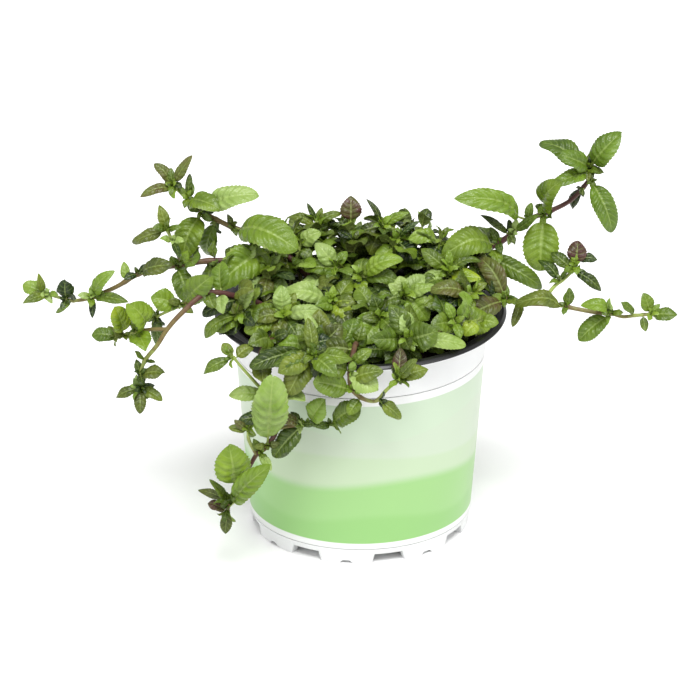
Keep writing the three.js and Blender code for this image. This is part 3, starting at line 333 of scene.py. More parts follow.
# Bush shoots that the front shows: a shoot's root, its tip, and its leaves, given as on a long stem. A leaf's
# place goes from 0 at the shoot's middle point to 1 at its tip.
FRONT_SHOOTS = [
    ([-10, 20], [-18, 28, 121], [
        [1, [-22, 30, 129], 2.5, 0.05, DARK, 40], [1, [-16, 31, 127], 3, 0.05, OLIVE, 40],
        [1, [-8, 28, 126], 4.5, 0.1, OLIVE, 40], [0.9, [-30, 29, 124], 5, 0.16, OLIVE, 30],
        [0.8, [-19, 21, 117], 7.5, 0.1, GREEN, 45], [0.7, [-30, 25, 120], 6.5, 0.1, GREEN, 40],
    ]),
    ([-2, 10], [-4, 27, 121], [
        [1, [-4, 30, 132], 9, 0.05, PURPLE, 50], [1, [-5, 19, 112], 8, 0.08, GREEN, 50],
        [0.9, [-13, 29, 120], 2.5, 0.1, DARK, 40], [0.8, [3, 21, 106], 6.5, 0.1, OLIVE, 45],
    ]),
    ([6, 21], [9, 25, 121], [
        [1, [3, 27, 132], 3, 0.05, DARK, 40], [1, [20, 25, 127], 4.5, 0.08, LIGHT, 35],
        [1, [-1, 25, 118], 6.5, 0.1, DARK, 40], [0.8, [1, 18, 114], 9.5, 0.1, OLIVE, 55],
        [1, [15, 20, 117], 6, 0.16, OLIVE, 35],
    ]),
    ([13, 11], [15, 17, 118], [
        [1, [24, 17, 127], 3, 0.1, DARK, 30], [1, [23, 10, 110], 8.5, 0.14, DARK, 50],
        [0.8, [6, 12, 111], 7.5, 0.12, LIGHT, 40],
    ]),
    ([-31, 9], [-25, 12, 117], [
        [1, [-17, 12, 124], 7.5, 0.1, PALE, 40], [0.9, [-20, 8, 114], 5, 0.1, GREEN, 40],
    ]),
    ([-36, -6], [-38, -2, 112], [
        [0.8, [-49, -11, 102], 7, 0.1, PALE, 50], [0.8, [-39, -13, 102], 7, 0.06, BROWN, 55],
        [0.7, [-30, -10, 107], 6, 0.1, PALE, 50],
    ]),
    ([-8, -3], [-10, -1, 113], [
        [1, [-18, 2, 123], 8, 0.1, PALE, 45], [1, [-6, 2, 120], 4.5, 0.05, LIGHT, 40],
        [1, [-23, -3, 115], 7, 0.12, GREEN, 40], [1, [-13, -9, 108], 6, 0.1, GREEN, 50],
        [0.8, [-3, -11, 104], 8.5, 0.06, PALE, 60],
    ]),
    ([13, -5], [18, -16, 108], [
        [1, [31, -18, 112], 6.5, 0.12, PALE, 35], [1, [27, -26, 102], 11.5, 0.08, LIGHT, 60],
        [1, [5, -20, 103], 8.5, 0.1, GREEN, 45], [1, [18, -13, 115], 6.5, 0.06, PALE, 45],
        [0.7, [6, -16, 109], 6, 0.1, DARK, 35],
    ]),
    ([24, 15], [33, 17, 118], [
        [1, [19, 14, 118], 7.5, 0.14, LIGHT, 35], [1, [36, 19, 123], 3, 0.05, GREEN, 40],
        [0.9, [29, 10, 111], 6, 0.1, DARK, 45], [0.8, [49, 15, 111], 6.5, 0.1, DARK, 40],
    ]),
    ([31, 4], [36, -2, 112], [
        [1, [25, 1, 121], 7, 0.08, GREEN, 45], [1, [24, -7, 110], 6, 0.14, PALE, 40],
        [1, [49, -2, 117], 5, 0.2, GREEN, 30], [1, [36, 1, 121], 3.5, 0.05, LIGHT, 40],
        [0.8, [49, -7, 111], 7.5, 0.1, YELLOW, 45],
    ]),
    ([27, -12], [45, -16, 108], [
        [1, [51, -16, 113], 4.5, 0.08, OLIVE, 40], [1, [41, -14, 114], 4, 0.06, PALE, 40],
        [1, [28, -19, 110], 8, 0.12, BROWN, 40], [1, [43, -23, 102], 5, 0.1, GREEN, 50],
        [0.7, [35, -24, 106], 7, 0.1, DARK, 50],
    ]),
    ([38, 5], [49, 8, 110], [
        [1, [54, 10, 114], 5.5, 0.1, PALE, 40], [1, [56, 2, 105], 7.5, 0.1, OLIVE, 45],
        [0.9, [43, 4, 107], 5, 0.1, GREEN, 45],
    ]),
    ([-30, -19], [-31, -29, 104], [
        [1, [-32, -26, 116], 7.5, 0.08, PALE, 50], [1, [-43, -32, 104], 7, 0.12, OLIVE, 35],
        [1, [-16, -31, 108], 6.5, 0.14, PALE, 40], [0.7, [-42, -39, 90], 9.5, 0.1, GREEN, 50],
        [0.8, [-24, -37, 95], 6.5, 0.1, GREEN, 50],
    ]),
    ([-12, -14], [-12, -21, 107], [
        [1, [-31, -24, 113], 9, 0.12, PALE, 40], [0.8, [-23, -28, 107], 7.5, 0.12, LIGHT, 45],
        [1, [-5, -30, 104], 8, 0.06, YELLOW, 60], [1, [-16, -18, 114], 6, 0.08, DARK, 45],
        [0.6, [-16, -29, 100], 6.5, 0.1, DARK, 50],
    ]),
    ([10, -32], [19, -44, 100], [
        [1, [12, -41, 114], 8.5, 0.08, GREEN, 50], [1, [29, -46, 109], 13, 0.1, GREEN, 50],
        [1, [42, -48, 102], 7, 0.1, PALE, 40], [0.8, [28, -53, 99], 8.5, 0.1, DARK, 45],
    ]),
    ([2, -20], [8, -30, 104], [
        [0.8, [0, -41, 97], 11, 0.1, LIGHT, 60], [1, [15, -38, 97], 7, 0.14, GREEN, 50],
        [1, [-2, -32, 103], 6.5, 0.12, GREEN, 40], [1, [5, -27, 110], 6, 0.06, DARK, 45],
        [0.5, [-4, -40, 95], 7, 0.1, YELLOW, 50],
    ]),
    ([-17, -33], [-17, -50, 99], [
        [1, [-22, -48, 114], 4.5, 0.05, PALE, 50], [1, [-11, -47, 111], 9.5, 0.1, OLIVE, 50],
        [1, [-3, -52, 101], 6.5, 0.1, PALE, 40], [1, [-9, -57, 89], 9, 0.06, LIGHT, 60],
    ]),
    ([-9, -36], [-6, -49, 97], [
        [1, [4, -54, 97], 7, 0.1, GREEN, 50],
    ]),
    ([-36, -19], [-49, -28, 105], [
        [1, [-54, -25, 116], 8.5, 0.06, BROWN, 50], [1, [-42, -25, 117], 6, 0.06, PALE, 45],
        [1, [-63, -31, 95], 6, 0.22, GREEN, 30], [0.8, [-60, -30, 99], 8.5, 0.1, GREEN, 35],
    ]),
    ([22, -25], [47, -34, 104], [
        [1, [42, -39, 100], 7, 0.1, YELLOW, 55], [1, [55, -38, 105], 6.5, 0.1, GREEN, 50],
        [0.8, [39, -34, 104], 5, 0.1, DARK, 40],
    ]),
    ([2, 1], [0, -5, 111], [
        [1, [16, -9, 110], 7.5, 0.14, GREEN, 40], [1, [18, -6, 118], 8.5, 0.14, LIGHT, 35],
        [1, [1, -14, 104], 7, 0.1, DARK, 50],
    ]),
]
SHOOT_THICK = [1.9, 1.2]
SHOOT_BARK = [0.55, 0.0]
SHOOT_RISE = 5  # how far the middle of a shoot is above the straight line from its root to its tip

BACK_SHOOTS = 6
BACK_ARC = [6, 162]  # degrees from the right round the back
BACK_RINGS = [(36, 52, 107), (24, 36, 118)]  # how far out the root and the tip are, and the tip's height
BACK_HEIGHT_SPREAD = 4

# Crossed pairs of leaves: share of the shoot's length, length, degrees above square to the shoot.
FRONT_PAIRS = [(0.6, 16, 8)]
BACK_PAIRS = [(0.5, 19, 2), (0.77, 17, 20), (1, 9.5, 52)]
PAIR_ARCH = 0.1
PAIR_LENGTH_SPREAD = 0.14
PAIR_LIFT_SPREAD = 10
PAIR_TURN_SPREAD = 0.2
PAIR_SHAPE = 0.64  # width for a length of 1
YOUNG_SHAPE = 0.5
PLACING_SEED = 20517

# Pairs of leaves that only the finished surfaces have, along every shoot.
FILLER_PAIRS = [(0.12, 13, 5), (0.24, 15, 0), (0.36, 16, 4), (0.48, 16, 8), (0.72, 14, 12), (0.84, 11, 20)]

# Pairs of leaves that only the finished surfaces have, on the long stems where they leave the pot.
COVER_STEP = 6
COVER_LENGTH = (8, 15)
COVER_LIFT = 5
WALL_SPARE = 3  # how far these and the shoots' pairs keep from the pot's wall and lip
FRESH_LIFT_SPREAD = 8

# Young leaves: pairs of length and lift.
STEM_TIP = [(5.5, 45), (3.5, 70)]
SHOOT_TIP = [(6.5, 55), (4, 74)]
AXIL_PAIRS = [(6.5, 30), (4, 60)]
AXIL_LEAF = 10  # leaves of the long stems longer than this have young leaves in the axil
SHOOT_AXIL_LEAF = 12  # and so have leaves of the shoots
SHOOT_AXIL_SIZE = (4, 7)

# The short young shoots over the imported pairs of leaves.
SIDE_SHOOT_REACH = (3, 6)
SIDE_SHOOT_LEAF = (7, 10)
SIDE_SHOOT_RISE = 0.4
SIDE_SHOOT_THICK = [0.9, 0.7]
SIDE_SHOOT_BARK = [0.1, 0]

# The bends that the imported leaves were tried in: pitch and swing in degrees, and share of the size.
BENDS = [
    [0, 0, 1], [14, 0, 1], [-14, 0, 1], [0, 18, 1], [0, -18, 1], [26, 10, 0.9], [-26, -10, 0.9],
    [0, 36, 0.85], [0, -36, 0.85], [40, 0, 0.8], [0, 0, 0.72], [22, 28, 0.72], [22, -28, 0.72],
    [50, 20, 0.6], [-40, 20, 0.6],
]
PACKED_FIT = 0.6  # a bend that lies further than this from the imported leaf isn't the one it has


# ---- vectors ----
def vec(*values):
    return np.array(values, float)


def unit(v):
    return v / np.linalg.norm(v)


def lerp(a, b, share):
    return a + (b - a) * share


def turned(v, axis, angle):
    """v turned about the unit axis by angle, in radians."""
    c, s = math.cos(angle), math.sin(angle)
    return v * c + np.cross(axis, v) * s + axis * float(np.dot(axis, v)) * (1 - c)


def square_to(v, axis):
    """The unit part of v that is square to the unit axis."""
    return unit(v - axis * float(np.dot(v, axis)))


# ---- curves ----
class Curve:
    """A uniform Catmull-Rom curve through its points, with its end points carried on straight."""

    def __init__(self, points):
        points = [np.array(p, float) for p in points]
        self.count = len(points)
        self.points = [2 * points[0] - points[1], *points, 2 * points[-1] - points[-2]]
        places = [self.at(i / 200) for i in range(201)]
        self.length = sum(np.linalg.norm(b - a) for a, b in zip(places, places[1:]))

    def at(self, share):
        place = min(max(share, 0), 1) * (self.count - 1)
        start = min(int(place), self.count - 2)
        t = place - start
        before, first, last, after = self.points[start:start + 4]
        leave, arrive = (last - before) / 2, (after - first) / 2
        return (first + leave * t + (3 * (last - first) - 2 * leave - arrive) * t ** 2
                + (2 * (first - last) + leave + arrive) * t ** 3)

    def ahead(self, share):
        return unit(self.at(min(share + 1e-4, 1)) - self.at(max(share - 1e-4, 0)))


class Limb:
    """One stem: its smooth curve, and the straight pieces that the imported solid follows."""

    def __init__(self, points, rooted, thick, bark):
        self.curve = Curve(points)
        self.rooted = rooted
        self.thick = thick
        self.bark = bark
        steps = max(2, math.floor(self.curve.length / PACKED_STEP + 0.5))
        self.straight = [self.curve.at(i / steps) for i in range(steps + 1)]
        self.swellings = []

    def share(self, place):
        """The share of the limb's length that a place counted in its path's points is at."""
        return (place + self.rooted) / (self.curve.count - 1)

    def packed_at(self, share):
        place = min(share, 0.9999) * (len(self.straight) - 1)
        start = int(place)
        return lerp(self.straight[start], self.straight[start + 1], place - start)


# ---- leaves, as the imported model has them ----
class Leaf:
    def __init__(self, root, tip, width, arch, face, fold=PACKED_FOLD):
        reach = tip - root
        self.root = root
        self.length = float(np.linalg.norm(reach))
        self.along = reach / self.length
        self.up = square_to(face, self.along)
        self.width = width
        self.arch = arch
        self.fold = fold

    def side(self):
        return np.cross(self.along, self.up)

    def tip(self):
        return self.root + self.along * self.length

    def bent(self, pitch, swing, share):
        side = self.side()
        other = copy.copy(self)
        other.along = turned(turned(self.along, side, math.radians(pitch)), self.up, math.radians(swing))
        other.up = square_to(turned(self.up, side, math.radians(pitch)), other.along)
        other.length *= share
        other.width *= share
        return other

    def packed_point(self, along, across):
        blade = max(0, (along - NECK_SHARE) / (1 - NECK_SHARE))
        rise = self.arch * self.length * 4 * blade * (1 - blade) + self.fold * (abs(across) - NECK / 2)
        return self.root + self.along * self.length * along + self.side() * across + self.up * rise

    def packed_marks(self):
        """Points that every packed leaf of this size has on its rim."""
        along, share = next(rim[1:] for rim in PACKED_RIMS if self.length < rim[0])
        half = share * self.width / 2
        return [self.packed_point(1, 0), self.packed_point(along, half), self.packed_point(along, -half)]


def packed_shape(node):
    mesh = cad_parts[node].data
    points = [v.co / MM for v in mesh.vertices]
    return BVHTree.FromPolygons(points, [list(p.vertices) for p in mesh.polygons])


def as_packed(leaf, shape):
    """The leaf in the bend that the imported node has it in, or None where that node goes without it."""
    best, gap = None, PACKED_FIT
    for bend in BENDS:
        tried = leaf.bent(*bend)
        marks = tried.packed_marks()
        off = sum(shape.find_nearest(Vector(mark))[3] for mark in marks) / len(marks)
        if off < gap:
            best, gap = tried, off
    return best


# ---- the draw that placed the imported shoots' leaves ----
class Placing:
    state = PLACING_SEED

    @classmethod
    def random(cls):
        cls.state = cls.state * 16807 % 2147483647
        return cls.state / 2147483647

    @classmethod
    def spread(cls, amount):
        return amount * (2 * cls.random() - 1)


# ---- meshes ----
def link(thing):
    bpy.context.scene.collection.objects.link(thing)
    return thing


class Mesh:
    """Collects grids of points and makes one object of them. Leaves and stems are marked: they have looks,
    four numbers for each point, and veins, which say where a point is on its leaf."""

    def __init__(self):
        self.points = []
        self.looks = []
        self.veins = []
        self.faces = []
        self.kinds = []
        self.count = 0

    def add(self, points, faces, kind, looks=0, veins=None):
        points = np.asarray(points, float).reshape(-1, 3)
        self.points.append(points)
        self.looks.append(np.broadcast_to(np.asarray(looks, float), (len(points), 4)))
        self.veins.append(np.zeros((len(points), 3)) if veins is None else veins.reshape(-1, 3))
        self.faces.append(np.asarray(faces, int) + self.count)
        self.kinds.append(np.broadcast_to(kind, len(faces)))
        self.count += len(points)

    def make(self, name, materials, marked=False):
        mesh = bpy.data.meshes.new(name)
        points = np.concatenate(self.points) * MM
        faces = [face for block in self.faces for face in block.tolist()]
        mesh.from_pydata(points.tolist(), [], faces)
        if marked:
            look = mesh.attributes.new("look", "FLOAT_COLOR", "POINT")
            look.data.foreach_set("color", np.concatenate(self.looks).astype(np.float32).ravel())
            vein = mesh.attributes.new("vein", "FLOAT_VECTOR", "POINT")
            vein.data.foreach_set("vector", np.concatenate(self.veins).astype(np.float32).ravel())
        for material in materials:
            mesh.materials.append(material)
        mesh.polygons.foreach_set("material_index", np.concatenate(self.kinds).astype(np.int32))
        mesh.polygons.foreach_set("use_smooth", np.ones(len(faces), bool))
        mesh.update()
        return link(bpy.data.objects.new(name, mesh))


def grid_faces(rows, columns, closed=False):
    """Quads of a grid of points. A closed grid joins its last column to its first."""
    across = columns if closed else columns - 1
    i, j = np.meshgrid(np.arange(rows - 1), np.arange(across), indexing="ij")
    a = i * columns + j
    b = i * columns + (j + 1) % columns
    return np.stack([a, b, b + columns, a + columns], -1).reshape(-1, 4)


LEAF_TOP, LEAF_UNDER, STALK = 0, 1, 2


def add_tube(mesh, points, radii, looks, sides, squareness=0.0, kind=STALK):
    """A closed tube of rings round the points, with four flatter sides if squareness is over 0."""
    points = np.asarray(points, float)
    ahead = np.gradient(points, axis=0)
    ahead /= np.linalg.norm(ahead, axis=1)[:, None]
    across = vec(0, 1, 0) if abs(ahead[0][0]) > 0.95 else vec(1, 0, 0)
    turn = np.arange(sides) * 2 * math.pi / sides
    flat = 1 - squareness * (0.5 - 0.5 * np.cos(4 * turn))
    rings = []
    for point, direction, radius in zip(points, ahead, radii):
        across = square_to(across, direction)
        square = np.cross(direction, across)
        rings.append(point + radius * flat[:, None] * (
            np.cos(turn)[:, None] * across + np.sin(turn)[:, None] * square))
    mesh.add(rings, grid_faces(len(points), sides, closed=True), kind, np.repeat(looks, sides, axis=0))
    ring = np.arange(sides)
    after = (ring + 1) % sides
    for end, order in ((0, [after, ring]), (-1, [ring, after])):
        fan = np.stack([*order, np.full(sides, sides)], -1)
        mesh.add([*rings[end], points[end]], fan, kind, looks[end])


def outline(t, low, high):
    """Half width of an ovate blade at a share of its length, 1 at its widest."""
    widest = low / (low + high)
    return t ** low * (1 - t) ** high / (widest ** low * (1 - widest) ** high)


def add_leaf(mesh, leaf, look, rng):
    """A thin closed blade with toothed edges and sunken veins. Its stalk runs on below it as a midrib."""
    length, half = leaf.length, leaf.width / 2
    veins, side_columns = next(detail[1:] for detail in LEAF_DETAIL if length < detail[0])
    rows = 4 * veins + 1  # a tooth's tip and a notch, twice for each pair of veins
    index = np.arange(rows)
    t = index / (rows - 1)  # where each row leaves the midrib, and margin is where it meets the edge
    margin = 1 - (1 - t) ** VEIN_SKEW
    inside = np.sin(math.pi * margin) ** 0.5
    tooth = np.where(index % 2 == 0, 1.0, -1.0)
    bite = rng.uniform(*TOOTH_DEPTH, rows) * inside
    low, high = rng.uniform(*BASE_POWER), rng.uniform(*TIP_POWER)
    edge = outline(margin, low, high * BLUNT_SHARE if length > BLUNT_LENGTH else high) * (1 + bite * tooth)
    edge[0] = NECK * 0.3 / half
    edge[-1] = 0.05
    margin = margin + TOOTH_LEAN / rows * tooth * inside
    v = np.linspace(-1, 1, 2 * side_columns + 1)
    reach = np.abs(v)[None]
    blade = t[:, None] + (margin - t)[:, None] * reach ** VEIN_CURVE
    across = v[None] * edge[:, None] * half

    droop, twist, wave = rng.uniform(*DROOP), rng.uniform(*TWIST), rng.uniform(*WAVE)
    sway = rng.uniform(*SWAY) * length
    if beside_wall(leaf.tip(), 5):
        droop, twist, sway = 0, 0, 0
    phase = rng.uniform(0, 2 * math.pi)
    rise = leaf.arch * length * 4 * blade * (1 - blade) - droop * length * blade ** 3
    rise += leaf.fold * np.abs(across) * (1.3 - 1.1 * reach ** 2) + twist * across * blade
    rise += wave * leaf.width * reach ** 2 * np.sin(3 * math.pi * blade + phase + 2 * (v > 0)[None])
    swell = np.array([0, 0.75, 1, 0.75])[index % 4]
    quilt = swell[:, None] * np.sin(math.pi * reach ** 0.8) ** 0.7 * inside[:, None]
    rise += QUILT * length * quilt * np.clip(edge, 0, 1)[:, None]

    along = length * (NECK_SHARE + (1 - NECK_SHARE) * blade)
    sideways = across + sway * np.sin(math.pi * blade)
    flat = (leaf.root + leaf.along * along[..., None] + leaf.side() * sideways[..., None]
            + leaf.up * rise[..., None])
    thin = np.full_like(rise, BLADE / 2)
    thin[:, [0, -1]] = 0
    thin[[0, -1]] = 0
    thick = leaf.up * thin[..., None]
    faces = grid_faces(rows, 2 * side_columns + 1)
    marks = np.stack(np.broadcast_arrays((t * veins)[:, None], reach, blade), -1)
    mesh.add(flat + thick, faces, LEAF_TOP, look, marks)
    mesh.add(flat - thick, faces[:, ::-1], LEAF_UNDER, look, marks)

    middle = flat[:, side_columns] - leaf.up * BLADE / 2
    stalk = [leaf.root - leaf.along * 0.4, leaf.root + leaf.along * length * NECK_SHARE * 0.5, *middle[:-3:2]]
    thickest = min(LEAF_STALK_MOST, LEAF_STALK_RADIUS + LEAF_STALK_GROWTH * length)
    radii = thickest * np.linspace(1, 0.25, len(stalk))
    looks = np.tile([*look[:3], LEAF_STALK_BARK], (len(stalk), 1))
    add_tube(mesh, stalk, radii, looks, LEAF_STALK_SIDES)


def add_stem(mesh, limb, rng):
    curve = limb.curve
    steps = max(6, math.ceil(curve.length / FINE_STEP))
    shares = list(np.linspace(0, 1, steps + 1))
    points = [curve.at(share) for share in shares]
    if limb.rooted:
        foot = points[0].copy()
        foot[2] = BURIED
        points = [foot, lerp(foot, points[0], 0.5), *points]
        shares = [0, 0, *shares]
    shares = np.array(shares)
    radii = lerp(*limb.thick, shares) / 2 * STEM_SPARE
    for place, size in limb.swellings:
        away = (shares - place) * curve.length
        radii = radii * (1 + size * np.exp(-(away / SWELLING_LENGTH) ** 2))
    bark = lerp(*limb.bark, shares) + rng.uniform(-BARK_SPREAD, BARK_SPREAD, len(shares))
    looks = np.stack([np.full(len(shares), rng.random()), bark * 0, bark * 0, np.clip(bark, 0, 1)], -1)
    add_tube(mesh, points, radii, looks, STEM_SIDES, STEM_SQUARENESS)


# ---- growing ----
def some_look(rng, kind):
    """Four numbers that colour a leaf: how light, how yellow and how purple it is, and a free one."""
    spread = [rng.uniform(-most, most) for most in LOOK_SPREAD]
    return [*np.clip(np.add(kind, spread), 0, 1), rng.random()]


def one_of(kinds, rng):
    return kinds[rng.integers(len(kinds))] if len(kinds) > 1 else kinds[0]


def new_leaf(root, along, length, face, shape=PAIR_SHAPE):
    return Leaf(root, root + along * length, shape * length, PAIR_ARCH, face)


def axil_way(leaf):
    """The way that young leaves grow in a leaf's axil."""
    return unit(leaf.along * 0.6 + leaf.up * 0.8)


def beside_wall(point, spare):
    """Whether the point is lower than spare above the pot, and not further than spare inside its wall."""
    return point[2] < POT_HEIGHT + spare and math.hypot(point[0], point[1]) > wall_inside(POT_HEIGHT) - spare


def add_pair(mesh, root, ahead, azimuth, lift, sizes, rng, kinds=MIXED, loose=0.25, face=None, young=False):
    """Two opposite leaves, lift degrees above square to ahead. Only young ones may be beside the wall."""
    first = square_to(vec(1, 0, 0.3), ahead)
    face = ahead if face is None else face
    shape = YOUNG_SHAPE if young else PAIR_SHAPE
    for half in (0, math.pi):
        out = turned(first, ahead, azimuth + half + rng.uniform(-loose, loose))
        rise = math.radians(lift + rng.uniform(-FRESH_LIFT_SPREAD, FRESH_LIFT_SPREAD))
        along = out * math.cos(rise) + ahead * math.sin(rise)
        size = rng.uniform(*sizes)
        look = some_look(rng, one_of(kinds, rng))
        if young or not beside_wall(root + along * size, WALL_SPARE):
            add_leaf(mesh, new_leaf(root, along, size, face, shape), look, rng)


def add_cluster(mesh, root, ahead, pairs, rng, kind):
    """Crossed pairs of young leaves at the end of a stem. pairs holds lengths and lifts."""
    azimuth = rng.uniform(0, 2 * math.pi)
    for length, lift in pairs:
        sizes = (0.85 * length, 1.15 * length)
        add_pair(mesh, root, ahead, azimuth, lift, sizes, rng, [kind], young=True)
        azimuth += math.pi / 2


def add_side_shoot(mesh, root, ahead, rng):
    """A short young shoot in a leaf's axil."""
    end = root + ahead * rng.uniform(*SIDE_SHOOT_REACH)
    size = rng.uniform(*SIDE_SHOOT_LEAF)
    kind = one_of(MIXED, rng)
    middle = lerp(root, end, 0.5) + vec(0, 0, SIDE_SHOOT_RISE)
    add_stem(mesh, Limb([root, middle, end], False, SIDE_SHOOT_THICK, SIDE_SHOOT_BARK), rng)
    add_cluster(mesh, end, ahead, [(size, 22), (size * 0.6, 58)], rng, kind)


def fine_leaf(limb, share, packed):
    """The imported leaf, moved onto the smooth stem with its tip kept."""
    return Leaf(limb.curve.at(share), packed.tip(), packed.width, packed.arch, packed.up, packed.fold)


def row_leaf(root, row):
    """The leaf that a listed row describes."""
    _, tip, width, arch, *rest = row
    lean = math.radians(rest[1] if len(rest) > 1 else FACE_LEAN)
    return Leaf(root, vec(*tip), width, arch, vec(0, -math.sin(lean), math.cos(lean)))


def grow_row(mesh, limb, row, shape, rng):
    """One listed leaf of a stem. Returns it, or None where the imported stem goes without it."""
    share = limb.share(row[0])
    kind = one_of([row[4]] if len(row) > 4 else MIXED, rng)
    packed = as_packed(row_leaf(limb.packed_at(share), row), shape)
    if packed is None:
        return None
    limb.swellings.append((share, SWELLING))
    leaf = fine_leaf(limb, share, packed)
    add_leaf(mesh, leaf, some_look(rng, kind), rng)
    return leaf


def add_cover(mesh, limb, reach, rng):
    """Pairs of leaves on the part of a long stem that is within reach of the pot's axis."""
    azimuth = rng.uniform(0, math.pi)
    for share in np.arange(COVER_STEP / 2, limb.curve.length, COVER_STEP) / limb.curve.length:
        root, ahead = limb.curve.at(share), limb.curve.ahead(share)
        if math.hypot(root[0], root[1]) > reach:
            break
        face = lerp(ahead, vec(0, -0.5, 1), 0.6)
        add_pair(mesh, root, ahead, azimuth, COVER_LIFT, COVER_LENGTH, rng, loose=0.3, face=face)
        azimuth += math.pi / 2 + rng.uniform(-0.3, 0.3)


def grow_long(name, limbs, rng):
    mesh = Mesh()
    shape = packed_shape(name)
    for row in limbs:
        rooted = "root" in row
        points = [[*row["root"], ROOT_TOP], *row["path"]] if rooted else row["path"]
        limb = Limb(points, rooted, row["thick"], row["bark"])
        for leaf_row in row["leaves"]:
            leaf = grow_row(mesh, limb, leaf_row, shape, rng)
            if leaf and leaf.length > AXIL_LEAF:
                add_cluster(mesh, leaf.root, axil_way(leaf), AXIL_PAIRS, rng, one_of(MIXED, rng))
        for leaf_row in row.get("fresh", []):
            leaf = row_leaf(limb.curve.at(limb.share(leaf_row[0])), leaf_row)
            add_leaf(mesh, leaf, some_look(rng, leaf_row[4]), rng)
        add_stem(mesh, limb, rng)
        if rooted:
            add_cover(mesh, limb, row.get("cover", LIP_RADIUS), rng)
        add_cluster(mesh, limb.curve.at(1), limb.curve.ahead(1), STEM_TIP, rng, LIGHT)
    return mesh


def grow_pairs(mesh, limb, pairs, shape, rng):
    """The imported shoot's pairs of leaves, with a young shoot over each of the larger ones."""
    turn = 2 * math.pi * Placing.random()
    for share, length, lift in pairs:
        ahead = limb.curve.ahead(share)
        first = square_to(vec(1, 0, 0), ahead)
        root = limb.packed_at(share)
        for half in (0, math.pi):
            out = turned(first, ahead, turn + half + Placing.spread(PAIR_TURN_SPREAD))
            rise = math.radians(lift + Placing.spread(PAIR_LIFT_SPREAD))
            size = length * (1 + Placing.spread(PAIR_LENGTH_SPREAD))
            along = out * math.cos(rise) + ahead * math.sin(rise)
            leaf = as_packed(new_leaf(root, along, size, ahead), shape)
            if leaf is None:
                continue
            add_leaf(mesh, fine_leaf(limb, share, leaf), some_look(rng, one_of(MIXED, rng)), rng)
            if share < 1:
                bud = unit(leaf.along * 0.9 + ahead * 0.7)
                add_side_shoot(mesh, limb.curve.at(share), bud, rng)
        limb.swellings.append((share, PAIR_SWELLING))
        turn += math.pi / 2 + Placing.spread(PAIR_TURN_SPREAD)


def add_fillers(mesh, limb, rng):
    azimuth = rng.uniform(0, 2 * math.pi)
    for share, length, lift in FILLER_PAIRS:
        # Filler pairs low on the shoot, deep in the bush, take only DIM's darker kinds: painted shade.
        kinds = MIXED if share > 0.6 else DIM
        sizes = (0.75 * length, 1.15 * length)
        add_pair(mesh, limb.curve.at(share), limb.curve.ahead(share), azimuth, lift, sizes, rng, kinds, 0.4)
        azimuth += math.pi / 2 + rng.uniform(-0.4, 0.4)


def grow_shoot(name, root, tip, rows, pairs, rng):
    base, end = vec(*root, ROOT_TOP), vec(*tip)
    middle = lerp(base, end, 0.5) + vec(0, 0, SHOOT_RISE)
    limb = Limb([base, middle, end], True, SHOOT_THICK, SHOOT_BARK)
    mesh = Mesh()
    shape = packed_shape(name)
    for row in rows:
        leaf = grow_row(mesh, limb, row, shape, rng)
        if leaf and leaf.length > SHOOT_AXIL_LEAF:
            pairs_there = [(rng.uniform(*SHOOT_AXIL_SIZE), 35)]
            add_cluster(mesh, leaf.root, axil_way(leaf), pairs_there, rng, LIGHT)
    grow_pairs(mesh, limb, pairs, shape, rng)
    add_fillers(mesh, limb, rng)
    add_cluster(mesh, end, limb.curve.ahead(1), SHOOT_TIP, rng, LIGHT)
    add_stem(mesh, limb, rng)
    return mesh


def back_shoots():
    shoots = []
    for i in range(BACK_SHOOTS):
        azimuth = math.radians(lerp(BACK_ARC[0], BACK_ARC[1], (i + 0.5) / BACK_SHOOTS))
        root_reach, tip_reach, height = BACK_RINGS[i % len(BACK_RINGS)]
        out = vec(math.cos(azimuth), math.sin(azimuth))
        height += Placing.spread(BACK_HEIGHT_SPREAD)
        shoots.append((out * root_reach, [*(out * tip_reach), height], []))
    return shoots


# ---- materials ----
# A leaf's colours: dark, light, pale, yellow, purple and its veins.
LEAF_TOP_COLOURS = [
    (15, 40, 2), (108, 138, 36), (144, 166, 98), (142, 160, 34), (74, 44, 40), (160, 180, 100),
]
LEAF_UNDER_COLOURS = [
    (74, 96, 32), (134, 152, 76), (152, 172, 114), (142, 156, 58), (92, 62, 54), (170, 182, 116),
]
LATERAL_SHARE = 0.16  # how much of their colour the side veins show
MIDRIB_SHARE = 0.38
STALK_COLOURS = [(146, 164, 82), (112, 98, 56), (82, 46, 42)]  # from young to old
SOIL_COLOURS = [(22, 16, 12), (66, 46, 33)]
WHITE_PLASTIC = (221, 222, 222)
BLACK_PLASTIC = (26, 26, 27)
PLASTIC_DULLNESS = 0.93
MARGIN_COLOUR = (221, 222, 221)
PRINT_LOW = (9.5, 9.8)  # where the print starts above the lower margin
PRINT_HIGH = (73.4, 73.7)  # and where it ends
LOWEST_BAND = (136, 184, 109)
# The bands above it, each with the wave that it starts at: height, size, turns, phase and softness.
BANDS = [
    ((20, 2.2, 4, 1.0, 2.0), (145, 189, 119)), ((36, 2.0, 3, 0.4, 2.5), (180, 199, 167)),
    ((47, 3.0, 2, 2.0, 1.2), (186, 200, 178)), ((60, 3.5, 3, 4.2, 0.7), (185, 202, 178)),
]


def rgb(red, green, blue):
    """A colour as a screen shows it, 0 to 255, in the shaders' linear numbers."""
    def line(value):
        value /= 255
        return value / 12.92 if value <= 0.04045 else ((value + 0.055) / 1.055) ** 2.4
    return (line(red), line(green), line(blue), 1)


